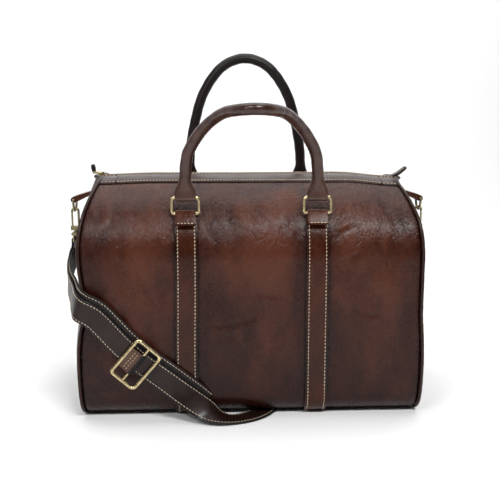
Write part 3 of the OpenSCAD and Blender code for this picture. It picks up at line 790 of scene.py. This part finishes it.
def mouth():
    for face, body, label in ((-1, "front_lip", "front"), (1, "back_lip", "back")):
        name = f"lip_{label}"
        for piece in lip(face, body, name + "_leather", -MOUTH_HALF, MOUTH_HALF, [name], True):
            mouth_weights(piece)
        tape(face, f"zip_tape_{label}_woven")
        teeth(face, f"zip_teeth_{label}_cast")
        for side, where in ((-1, "left"), (1, "right")):
            low, high = sorted((side * (MOUTH_HALF + 0.2), side * (HALF_W - 0.6)))
            lip(face, "root", f"zip_end_{where}_{label}", low, high, [f"zip_end_{where}"], False)
    for side, where in ((-1, "left"), (1, "right")):
        bridge(side, f"zip_end_{where}_bridge")


def bridge(side, name):
    """Leather that closes the gap past the end of the zip."""
    xs = side * np.linspace(MOUTH_HALF + 1, HALF_W - 0.6, 10)
    ys = np.linspace(-8.5, 8.5, 12)
    x, y = np.meshgrid(xs, ys, indexing="ij")
    rise = np.cos(y / 8.5 * math.pi / 2)
    z = BODY_H - 1.9 + 1.2 * rise * smooth((np.abs(x) - MOUTH_HALF) / 14)
    outer = slump(np.stack([x, y, z], -1))
    if side < 0:
        outer = outer[::-1]
    shell(name, outer, outer - np.array([0, 0, 1.6]), body="root", material=BAND, slot="body_leather",
          stands_for=["zip_end_left" if side < 0 else "zip_end_right"])


# ---------- loops that hold the rings ----------

def chape(side, face, name):
    """Leather loop round the lower bar of a ring, sewn down over the strip."""
    bar = np.array([RING_Y, LOW_BAR])
    away = unit(bar - SHOULDER)
    down = np.array([-away[1], away[0]])
    if down[1] > 0:
        down = -down
    thick = 2.1
    reach = RING_R + thick / 2 + 0.15
    tail = 17.5
    points, outs = [], []
    for k in range(9):
        share = k / 8
        points.append(bar + away * reach + down * tail * (1 - share))
        outs.append(away)
    points = [p - away * (reach - 2.6) * smooth(1 - i / 6) for i, p in enumerate(points)]
    for k in range(1, 13):
        a = math.pi * k / 12
        direction = away * math.cos(a) - down * math.sin(a)
        points.append(bar + direction * reach)
        outs.append(direction)
    for k in range(1, 5):
        points.append(bar - away * reach + down * 2.2 * k)
        outs.append(-away)
    yz, out2 = np.array(points), np.array(outs)
    x = np.full((len(yz), 1), side * STRIP_X)
    place = np.concatenate([x, yz], 1)
    out = np.concatenate([np.zeros_like(x), out2], 1)
    place, out = mirror_y(place, face), mirror_y(out, face)
    _, across, up = frames(place, out)
    width = np.interp(np.arange(len(yz)), [0, 3, 8, len(yz)], [27.5, 26.5, 25.2, 25])
    sections = np.stack([flat_section(w, thick, 0.8, 0.2) for w in width])
    tone = 0.5 + 0.12 * np.sin(np.linspace(0, 3, len(yz)))[:, None] + 0 * sections[:, :, 0]
    sweep(name + "_leather", place, across, up, sections, body="root", material=TRIM, slot="trim_leather",
          stands_for=[name], tone=tone)
    row = place[1] + up[1] * (thick / 2 + 0.15) + np.linspace(-10.5, 10.5, 8)[:, None] * np.array([1.0, 0, 0])
    stitches(name + "_stitch", row, np.repeat(up[1:2], 8, 0), "root", pitch=3.9, length=2.8)


# ---------- handles ----------

HANDLE_H = 180.0
HANDLE_D = 13.8
FOLD_START, FOLD_R, FOLD_ANGLE = 18.0, 90.0, math.radians(84)
BACK_OUTLINE = [[1, 0], [1, 0.15], [0.975, 0.3], [0.9, 0.48], [0.79, 0.665], [0.63, 0.81],
                [0.43, 0.922], [0.22, 0.98], [0, 1]]
FRONT_OUTLINE = [[1, 0], [1, 0.17], [0.96, 0.31], [0.87, 0.41], [0.73, 0.53], [0.55, 0.67],
                 [0.37, 0.82], [0.19, 0.95], [0, 1]]


def fold_path(s, folded):
    """Distance forward and up for a length s of handle."""
    if not folded:
        return np.stack([np.zeros_like(s), s], 1)
    over = s - FOLD_START
    bend = FOLD_R * FOLD_ANGLE
    a = np.clip(over / FOLD_R, 0, FOLD_ANGLE)
    past = np.maximum(over - bend, 0)
    forward = FOLD_R * (1 - np.cos(a)) + past * math.sin(FOLD_ANGLE)
    up = np.minimum(s, FOLD_START) + FOLD_R * np.sin(a) + past * math.cos(FOLD_ANGLE)
    return np.stack([forward, up], 1)


def handle_path(folded, t):
    half = FRONT_OUTLINE if folded else BACK_OUTLINE
    flat = spline(half + [[-a, b] for a, b in reversed(half[:-1])], t)
    reach = HANDLE_H - 4 if folded else HANDLE_H
    s = flat[:, 1] * reach
    path = fold_path(s, folded)
    ahead = fold_path(s + 0.5, folded) - fold_path(s - 0.5, folded)
    ahead = unit(ahead)
    place = np.stack([flat[:, 0] * STRIP_X, RING_Y - path[:, 0], HIGH_BAR + path[:, 1]], 1)
    normal = np.stack([np.zeros(len(s)), -ahead[:, 1], -ahead[:, 0]], 1)
    return place, normal, s


def handle(folded, name, core, body, material):
    """Rolled handle whose ends open into flat feet sewn round the upper bars of the rings."""
    face = -1 if folded else 1
    t = np.linspace(0, 1, 240)
    place, normal, s = handle_path(folded, t)
    foot = 1 - smooth((s - 5) / 25)
    tail = np.linspace(-(RING_R + 2.7), -0.15, 8)
    ends = []
    for side in (1, -1):
        drop = np.stack([np.full(8, side * STRIP_X), np.full(8, RING_Y), HIGH_BAR + tail], 1)
        ends.append(drop if side > 0 else drop[::-1])
    place = np.concatenate([ends[0], place, ends[1]])
    fill = np.repeat([[0.0, -1.0, 0.0]], 8, 0)
    normal = np.concatenate([fill, normal, fill])
    foot = np.concatenate([np.ones(8), foot, np.ones(8)])
    depth = np.concatenate([tail, s, tail[::-1]])
    _, _, up = frames(place, normal)
    thick_round = HANDLE_D / 2
    half_thick = thick_round + (RING_R + 2.7 - thick_round) * foot
    under = np.clip(-depth / (RING_R + 2.7), 0, 0.985)
    half_thick = half_thick * np.where(depth < 0, np.sqrt(1 - under ** 2), 1)
    half_wide = thick_round + (13.2 - thick_round) * foot ** 1.5
    half_wide = half_wide - 1.6 * under ** 3
    sides = 28
    a = np.arange(sides) / sides * 2 * math.pi
    power = (1 - 0.55 * foot)[:, None]
    cos, sin = np.cos(a)[None], np.sin(a)[None]
    wide = half_wide[:, None] * np.sign(cos) * np.abs(cos) ** power
    thick = half_thick[:, None] * np.sign(sin) * np.abs(sin) ** power
    roll = 1 - foot[:, None]
    run = run_along(place)
    crease = 0.16 * np.sin(run / 2.9 + 1.7 * np.sin(run / 31))[:, None] * np.cos(a - 0.4)[None] * roll
    ridge = 0.9 * np.exp(-((np.angle(np.exp(1j * (a - math.pi)))) / 0.28) ** 2)[None] * roll
    factor = 1 + (crease + ridge) / half_wide[:, None]
    sections = np.stack([wide * factor, thick * factor], -1)
    place = mirror_y(place, face)
    _, across, up = frames(place, mirror_y(up, face))
    # painted light: one side of the roll is lighter and the crease ripples are lit and shaded; the feet are a
    # little lighter and the inside seam darker
    tone = 0.5 + 0.10 * np.cos(a - 1.2)[None] + 0.5 * crease + 0.08 * foot[:, None]
    tone = tone - 0.25 * np.exp(-((a - math.pi) / 0.3) ** 2)[None] * roll
    sweep(name + "_leather", place, across, up, sections, body=body, material=material, slot="trim_leather",
          stands_for=[name, core], tone=np.clip(tone, 0, 1))
    foot_stitches(name, body, place, across, up, half_wide, half_thick, depth)
    seam = depth > 30
    inside = place - across * (0.985 * (half_wide[:, None] + 0.55)) + up * 1.4
    stitches(f"{name}_seam_stitch", inside[seam], -across[seam], body, pitch=5.2, length=3.2, radius=0.34,
             thread=DARK_THREAD)


def foot_stitches(name, body, place, across, up, half_wide, half_thick, depth):
    """Stitches down both edges of each foot and across it above the bar."""
    half = len(depth) // 2
    for label, part in (("a", slice(8, half)), ("b", slice(half, len(depth) - 8))):
        near = (depth[part] > 7.5) & (depth[part] < 18)
        for edge in (-1, 1):
            at = place[part][near] + across[part][near] * (edge * (half_wide[part][near] - 2.6))[:, None]
            at = at + up[part][near] * (half_thick[part][near] * 0.86 + 0.25)[:, None]
            tag = "l" if edge < 0 else "r"
            stitches(f"{name}_foot_stitch_{label}{tag}", at, up[part][near], body, pitch=3.8, length=2.7,
                     radius=0.36, thread=DARK_THREAD)
        k = int(np.argmin(np.abs(depth[part] - 7.0)))
        spread = np.linspace(-9.2, 9.2, 7)[:, None]
        row = place[part][k] + across[part][k] * spread + up[part][k] * (half_thick[part][k] + 0.12)
        stitches(f"{name}_foot_stitch_{label}x", row, np.repeat(up[part][k][None], 7, 0), body, pitch=3.8,
                 length=2.7, radius=0.36, thread=DARK_THREAD)


# ---------- shoulder strap ----------

hook_low, hook_high = node_box("d_ring_right")
HOOK_X = (hook_low[0] + hook_high[0]) / 2
EYE_R = 1.6
eye_low, _ = node_box("swivel_eye_right")
EYE_BAR = eye_low[2] + EYE_R
STRAP_W = 31.0
STRAP_T = 2.4
TURN_R = EYE_R + 0.4 + STRAP_T / 2
LAYER_GAP = STRAP_T + 0.7
TAIL_SHIFT = 8.5
STRAP_SLOPE = math.radians(41)
HALF_ROUTE = [
    [(-241.7, 0, 217), (-1, 0, 0)], [(-241.8, 0, 207), (-1, 0, 0)], [(-243.2, -5, 196), (-1, 0, 0)],
    [(-244, -20, 186), (-1, 0, 0)], [(-243, -42, 178), (-1, -0.05, 0)],
    [(-239.5, -66, 170), (-1, -0.1, 0.05)], [(-236, -91, 162.5), (-1, -0.25, 0.1)],
    [(-231.5, -114, 155), (-1, -0.6, 0.1)], [(-223, -130.5, 149), (-0.6, -1, 0.1)],
    [(-204, -132, 138.5), (-0.1, -1, 0.05)], [(-184, -131.5, 121.5), (0, -1, 0)],
    [(-162, -130.3, 98.5), (0, -1, 0)], [(-138, -130, 76.5), (0, -1, 0)],
    [(-110, -131, 55), (0, -1, 0.05)], [(-86, -133.8, 37), (0, -1, 0.25)],
    [(-65, -136, 22), (0, -1, 0.75)], [(-45, -136, 9), (0, -0.35, 1)], [(-25, -131.5, 2.2), (0, -0.03, 1)],
    [(-5, -123, 1.4), (0, 0, 1)], [(11, -108, 1.35), (0, 0, 1)], [(21, -88, 1.35), (0, 0, 1)],
    [(24, -62, 1.35), (0, 0, 1)], [(16, -28, 1.35), (0, 0, 1)], [(0, 0, 1.35), (0, 0, 1)]]


def strap_frames(t):
    """Places and directions along the half route at shares t."""
    places = [place for place, _ in HALF_ROUTE]
    out = unit(spline([direction for _, direction in HALF_ROUTE], t))
    along = unit(spline(places, np.minimum(t + 0.002, 1)) - spline(places, np.maximum(t - 0.002, 0)))
    across = unit(np.cross(along, out))
    return slump(spline(places, t)), across, np.cross(across, along)


def turned(v):
    return v * np.array([-1.0, -1.0, 1.0])


def edge_rows(name, place, across, up, keep, sides=(-1, 1)):
    """Stitches along the edges of the strap, on its outer face."""
    for side in sides:
        at = place + across * (side * (STRAP_W / 2 - 3.1)) + up * (STRAP_T / 2 + 0.12)
        edge = "low" if side > 0 else "high"
        stitches(f"{name}_{edge}", at[keep], up[keep], "root", pitch=4.4, length=3.1, radius=0.44)


def shoulder_strap():
    t = np.linspace(0, 1, 200)
    place, across, up = strap_frames(t)
    loop_a = np.linspace(math.pi, 0.0, 12)[1:-1]
    top = np.stack([-HOOK_X + TURN_R * np.cos(loop_a), 0 * loop_a, EYE_BAR + TURN_R * np.sin(loop_a)], 1)
    top_up = np.stack([np.cos(loop_a), 0 * loop_a, np.sin(loop_a)], 1)
    top, top_up = top[::-1], top_up[::-1]
    side_on = np.repeat([[0.0, 1.0, 0.0]], len(top), 0)
    inner_t = np.linspace(0.02, 0.165, 16)[::-1]
    inner_place, inner_across, inner_up = strap_frames(inner_t)
    ease = smooth(inner_t / 0.16)
    depth = LAYER_GAP + (2 * TURN_R - LAYER_GAP) * (1 - ease)
    inner_place = inner_place - inner_up * depth[:, None]
    back_path = turned(np.concatenate([inner_place, top, place[:-1]]))[::-1]
    back_across = -turned(np.concatenate([-inner_across, side_on, across[:-1]]))[::-1]
    back_up = turned(np.concatenate([-inner_up, top_up, up[:-1]]))[::-1]
    path = np.concatenate([top, place, back_path])
    acrosses = np.concatenate([side_on, across, back_across])
    ups = np.concatenate([top_up, up, back_up])
    section = flat_section(STRAP_W, STRAP_T, 0.9, 0.12)
    edge = np.abs(section[:, 0]) > STRAP_W / 2 - 1.0
    under = section[:, 1] < -STRAP_T / 2 + 0.1
    tone = np.where(edge, 0.05, np.where(under, 0.1, 0.52))[None] + 0 * path[:, :1]
    sweep("shoulder_strap_leather", path, acrosses, ups, section, body="root", material=STRAP,
          slot="trim_leather", stands_for=["shoulder_strap"], tone=tone)
    keep = t > 0.02
    edge_rows("strap_left_stitch", place, across, up, keep)
    edge_rows("strap_right_stitch", turned(place), turned(across), turned(up), keep)


def strap_tail():
    t = np.linspace(0.002, 0.66, 120)
    place, across, up = strap_frames(t)
    shift = -TAIL_SHIFT * smooth((t - 0.05) / 0.3)
    depth = LAYER_GAP + (2 * TURN_R - LAYER_GAP) * (1 - smooth(t / 0.16))
    place = place + across * shift[:, None] - up * depth[:, None]
    section = flat_section(STRAP_W, STRAP_T, 0.9, 0.1)
    sweep("strap_tail_leather", place, across, up, section, body="root", material=DARK, slot="edge_leather",
          stands_for=["strap_tail"])
    edge_rows("strap_tail_stitch", place, across, up, t > 0.03, sides=(-1,))


# ---------- slide buckle ----------

def strap_fold():
    """End of the strap, rolled round the middle bar of the buckle and sewn to itself."""
    low, high = node_box("slide_buckle")
    middle = (low + high) / 2
    along = np.array([math.cos(STRAP_SLOPE), 0, -math.sin(STRAP_SLOPE)])
    out = np.array([0.0, -1.0, 0.0])
    thick = 1.9
    reach = 1.7 + 0.25 + thick / 2
    points, outs = [], []
    for k in range(11):
        points.append(middle + along * (2.0 * k - 20.0) + out * (reach * smooth((k - 3) / 7.0) - 0.4))
        outs.append(out)
    for k in range(1, 15):
        a = 1.25 * math.pi * k / 14
        direction = out * math.cos(a) + along * math.sin(a)
        points.append(middle + direction * reach)
        outs.append(direction)
    points, outs = np.array(points), np.array(outs)
    _, side, up = frames(points, outs)
    wide = np.interp(np.arange(len(points)), [0, 8, len(points)], [28.5, 30.0, 30.5])
    sections = np.stack([flat_section(w, thick, 0.8, 0.1) for w in wide])
    # painted shade: the rolled part is dark where it turns under the bar, and the flat part is lighter
    rolled = np.arange(len(points))[:, None] > 9
    tone = np.where(rolled, 0.08, 0.62) + 0 * sections[:, :, 0]
    sweep("strap_fold_leather", points, side, up, sections, body="buckle", material=LIT_FOLD,
          slot="edge_leather", stands_for=["strap_fold"], tone=tone)
    for label, k in (("a", 5), ("b", 7)):
        row = points[k] + side[k] * np.linspace(-12.5, 12.5, 8)[:, None] + up[k] * (thick / 2 + 0.1)
        stitches(f"strap_fold_stitch_{label}", row, np.repeat(up[k][None], 8, 0), "buckle", pitch=3.6,
                 length=2.6, radius=0.36)




# ---------- tabs ----------

def side_tab(side, name):
    """Doubled leather tab sewn to the end of the bag and wrapped round the straight bar of its ring."""
    _, high = node_box("d_ring_right")
    bar = np.array([HOOK_X, high[2] - EYE_R])
    start = np.array([HALF_W - 13.0, 286.0])
    lean = unit(bar - start)
    reach = EYE_R + 2.4
    length = np.linalg.norm(bar - start)
    tip = length + reach * np.sin(np.linspace(0.15, 1, 8) * math.pi / 2.1)
    run = np.append(np.linspace(0, length, 12), tip)
    xz = start + lean * run[:, None]
    place = np.stack([side * xz[:, 0], 0 * run, xz[:, 1]], 1)
    out = np.repeat([[side * -lean[1], 0.0, lean[0]]], len(run), 0)
    _, across, up = frames(place, out)
    past = np.clip((run - length) / reach, 0, 0.99)
    thick = (3.4 + (2 * reach - 3.4) * smooth(run / length)) * np.sqrt(1 - past ** 2)
    sections = np.stack([flat_section(20.0, t, min(0.7, t / 3), 0.15) for t in thick])
    sweep(name + "_leather", place, across, up, sections, body="root", material=TRIM, slot="trim_leather",
          stands_for=[name])
    row = place[6] + across[6] * np.linspace(-7.5, 7.5, 6)[:, None] + up[6] * (thick[6] / 2 + 0.12)
    stitches(name + "_stitch", row, np.repeat(up[6][None], 6, 0), "root", pitch=3.6, length=2.6)


def tail_tab():
    """Folded tab sewn over the tail of the zip, standing up at the right end."""
    low, high = node_box("zip_tail_tab")
    start = np.array([low[0] - 7.0, BODY_H - 6.0])
    end = np.array([high[0] - 3.4, high[2] - 3.6])
    middle = (start + end) / 2 + np.array([0.8, -1.6])
    share = np.linspace(0, 1, 20)
    xz = spline([start, middle, end], share)
    place = np.stack([xz[:, 0], 0 * share, xz[:, 1]], 1)
    _, across, up = frames(place, np.repeat([[-0.7, 0.0, 0.7]], 20, 0))
    sections = []
    for s in share:
        width = 13.6 - 0.8 * s - 3.2 * smooth((s - 0.86) / 0.14)
        thick = 3.2 + 1.0 * math.sin(s * math.pi) - 1.2 * float(smooth((s - 0.9) / 0.1))
        sections.append(flat_section(width, thick, thick * 0.42, 0.2))
    sweep("zip_tail_tab_leather", place, across, up, np.stack(sections), body="root", material=STRAP,
          slot="edge_leather", stands_for=["zip_tail_tab"])
    sewn = slice(5, 17)
    for side, label in ((-1, "a"), (1, "b")):
        row = place[sewn] + across[sewn] * side * 4.4 + up[sewn] * 2.0
        stitches(f"zip_tail_tab_stitch_{label}", row, up[sewn], "root", pitch=3.4, length=2.4, radius=0.32)


def pull_tab():
    """Leather pull folded through the link of the slider."""
    low, high = node_box("zip_pull_tab")
    middle = (low[0] + high[0]) / 2
    base = np.array([middle + 0.6, 0.0, low[2] + 2.9])
    tip = np.array([middle - 1.2, 0.0, high[2] - 0.4])
    share = np.linspace(0, 1, 18)
    place = base + (tip - base) * share[:, None]
    _, across, up = frames(place, np.repeat([[-1.0, 0.0, 0.0]], 18, 0))
    sections = []
    for s in share:
        width = 5.0 + 5.4 * float(smooth((s - 0.2) / 0.2)) - 2.4 * float(smooth((s - 0.88) / 0.12))
        thick = max(1.2, 5.4 - 1.4 * abs(s - 0.5) - 2.2 * float(smooth((s - 0.9) / 0.1)))
        sections.append(flat_section(width, thick, thick * 0.45, 0.1))
    first = np.array([sections[0] * [1, 0.5]])
    place = np.concatenate([[base - unit(tip - base) * 2.4], place])
    across = np.concatenate([across[:1], across])
    up = np.concatenate([up[:1], up])
    sections = np.concatenate([first, np.stack(sections)])
    sweep("zip_pull_tab_leather", place, across, up, sections, body="pull_tab", material=DARK,
          slot="edge_leather", stands_for=["zip_pull_tab"])


# ---------- inside ----------

def lining():
    """Cotton lining, a little loose inside the leather."""
    gap = 4.4
    first = SEAM_A - math.radians(2)
    run = outline_length(first)
    xs = np.linspace(-HALF_W + 3, HALF_W - 3, 90)
    ss = np.linspace(0, run, 170)
    x, s = np.meshgrid(xs, ss, indexing="ij")
    place, normal = outline(s, -gap, first)
    shift = run - RUN
    body = body_swell(x, np.clip(s - shift / 2, 0.5, RUN - 0.5))
    at = np.stack([x, place[..., 0], place[..., 1]], -1)
    front = np.minimum(s, run - s)
    soft = smooth(front / 30) * smooth((HALF_W - np.abs(x)) / 30)
    base = smooth((front - BASE_FROM) / 20)
    swell = np.minimum(body, 0.5) - 1.4 * np.abs(waves(at * [1, 1, 0.7], 50, 7, 3)) * soft * (1 - base)
    yz = place + swell[..., None] * normal
    outer = slump(np.concatenate([x[..., None], yz], -1))
    inward = np.concatenate([np.zeros_like(x)[..., None], -normal], -1)
    shell("lining_cotton", outer, outer + inward * 0.8, body="root", material=LINING, slot="lining_fabric",
          stands_for=["lining"])
    edge, _ = closed_outline(150, -gap - 0.9)
    middle = np.array([0.0, BODY_H * 0.49])
    r = np.linspace(0.02, 1, 16)
    yz = middle + (edge - middle)[None] * r[:, None, None]
    depth = HALF_W - 3.2 - 1.2 * smooth(1 - r)[:, None] + 0 * yz[..., 0]
    yz = np.stack([yz[..., 0], np.minimum(yz[..., 1], BODY_H - 9)], -1)
    for side, label in ((-1, "left"), (1, "right")):
        outer = slump(np.concatenate([side * depth[..., None], yz], -1))
        inner = outer - np.array([side * 0.7, 0, 0])
        verts = np.concatenate([outer.reshape(-1, 3), inner.reshape(-1, 3)])
        put(f"lining_end_{label}", verts, disc_shell(*outer.shape[:2], side < 0), "root", LINING,
            "lining_fabric", ["lining"])


# ---------- metal and other carried-over nodes ----------

def finish_nodes():
    """Finishes on the CAD nodes that stay in view, with slightly worn edges."""
    rings = [f"ring_{face}_{side}" for face in ("front", "back") for side in ("left", "right")]
    hooks = [f"{part}_{side}" for part in ("d_ring", "swivel_eye", "snap_hook", "hook_gate")
             for side in ("left", "right")]
    finishes = ((BRASS, "brass", rings + ["slide_buckle", "zip_puller"]),
                (ANTIQUE, "brass", hooks + ["zip_slider"]),
                (BOARD, "board", ["base_board"]))
    for material, slot, names in finishes:
        for name in names:
            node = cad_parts[name]
            node.data.materials.clear()
            node.data.materials.append(material)
            bevel = node.modifiers.new("worn_edges", "BEVEL")
            bevel.width = 0.35 * MM
            bevel.segments = 2
            bevel.limit_method = "ANGLE"
            bevel.angle_limit = math.radians(35)
            bevel.harden_normals = False


# ---------- floor, light and camera ----------

def floor():
    mesh = bpy.data.meshes.new("floor")
    rows = [(-3.0, 0.0), (1.6, 0.0)]
    for k in range(1, 9):
        a = math.radians(90 * k / 8)
        rows.append((1.6 + 0.6 * math.sin(a), 0.6 * (1 - math.cos(a))))
    rows.append((2.2, 3.2))
    verts = [(x, y, z) for y, z in rows for x in (-4.0, 4.0)]
    mesh.from_pydata(verts, [], [(2 * i, 2 * i + 1, 2 * i + 3, 2 * i + 2) for i in range(len(rows) - 1)])
    mesh.polygons.foreach_set("use_smooth", [True] * len(mesh.polygons))
    piece = bpy.data.objects.new("floor", mesh)
    scene.collection.objects.link(piece)
    n = Nodes("pale_floor")
    n.set(Base_Color=(0.93, 0.93, 0.93, 1.0), Roughness=0.7)
    mesh.materials.append(n.material)


def light(name, place, target, size, power):
    data = bpy.data.lights.new(name, "AREA")
    data.shape = "RECTANGLE"
    data.size, data.size_y = size
    data.energy = power
    lamp = bpy.data.objects.new(name, data)
    scene.collection.objects.link(lamp)
    lamp.location = place
    lamp.rotation_euler = (Vector(target) - Vector(place)).to_track_quat("-Z", "Y").to_euler()


def studio():
    """Bright behind the bag and dim behind the camera, with soft boxes above and in front."""
    world = bpy.data.worlds.new("studio")
    world.use_nodes = True
    tree = world.node_tree
    direction = tree.nodes.new("ShaderNodeTexCoord")
    split = tree.nodes.new("ShaderNodeSeparateXYZ")
    fade = tree.nodes.new("ShaderNodeMapRange")
    for key, value in (("From Min", -0.1), ("From Max", 0.7), ("To Min", 0.04), ("To Max", 1.1)):
        fade.inputs[key].default_value = value
    tree.links.new(direction.outputs["Generated"], split.inputs[0])
    tree.links.new(split.outputs["Y"], fade.inputs["Value"])
    tree.links.new(fade.outputs["Result"], tree.nodes["Background"].inputs["Strength"])
    tree.nodes["Background"].inputs["Color"].default_value = (1.0, 1.0, 1.0, 1.0)
    scene.world = world
    light("top_soft", (0.0, 0.1, 1.9), (0, 0, 0.0), (2.0, 0.9), 17)
    light("front_key", (0.5, -1.35, 1.6), (0.08, 0, 0.2), (0.8, 0.17), 25)
    light("front_key_left", (-0.75, -1.3, 1.35), (-0.1, 0, 0.2), (0.4, 0.17), 8)
    light("left_key", (-1.3, -1.1, 1.0), (-0.1, 0, 0.22), (0.3, 0.6), 4)
    light("back_wash", (0, 1.0, 1.8), (0, 2.2, 0.5), (3.0, 1.0), 30)
    scene.view_settings.view_transform = "Standard"


def camera():
    data = bpy.data.cameras.new("photo_view")
    data.sensor_width = 36.0
    data.lens = 57.97
    data.clip_end = 20.0
    eye = bpy.data.objects.new("photo_view", data)
    scene.collection.objects.link(eye)
    azimuth, elevation, distance = math.radians(-2.47), math.radians(10.49), 1.1306
    target = Vector((0.0026, 0.0, 0.1989))
    back = Vector((math.sin(azimuth) * math.cos(elevation), -math.cos(azimuth) * math.cos(elevation),
                   math.sin(elevation)))
    eye.location = target + back * distance
    eye.rotation_euler = (-back).to_track_quat("-Z", "Y").to_euler()
    scene.camera = eye


main_panel()
for side, label in ((-1, "left"), (1, "right")):
    end_panel(side, f"end_panel_{label}_skin")
    piping(side, f"piping_{label}_cord")
    strip(side, f"strip_{label}")
    side_tab(side, f"side_tab_{label}")
    for face, where in ((-1, "front"), (1, "back")):
        chape(side, face, f"chape_{where}_{label}")
mouth()
handle(True, "handle_front_cover", "handle_front_core", "front_handle", HANDLE)
handle(False, "handle_back_cover", "handle_back_core", "back_handle", SHADED_BACK_HANDLE)
shoulder_strap()
strap_tail()
strap_fold()
tail_tab()
pull_tab()
lining()
finish_nodes()
floor()
studio()
camera()
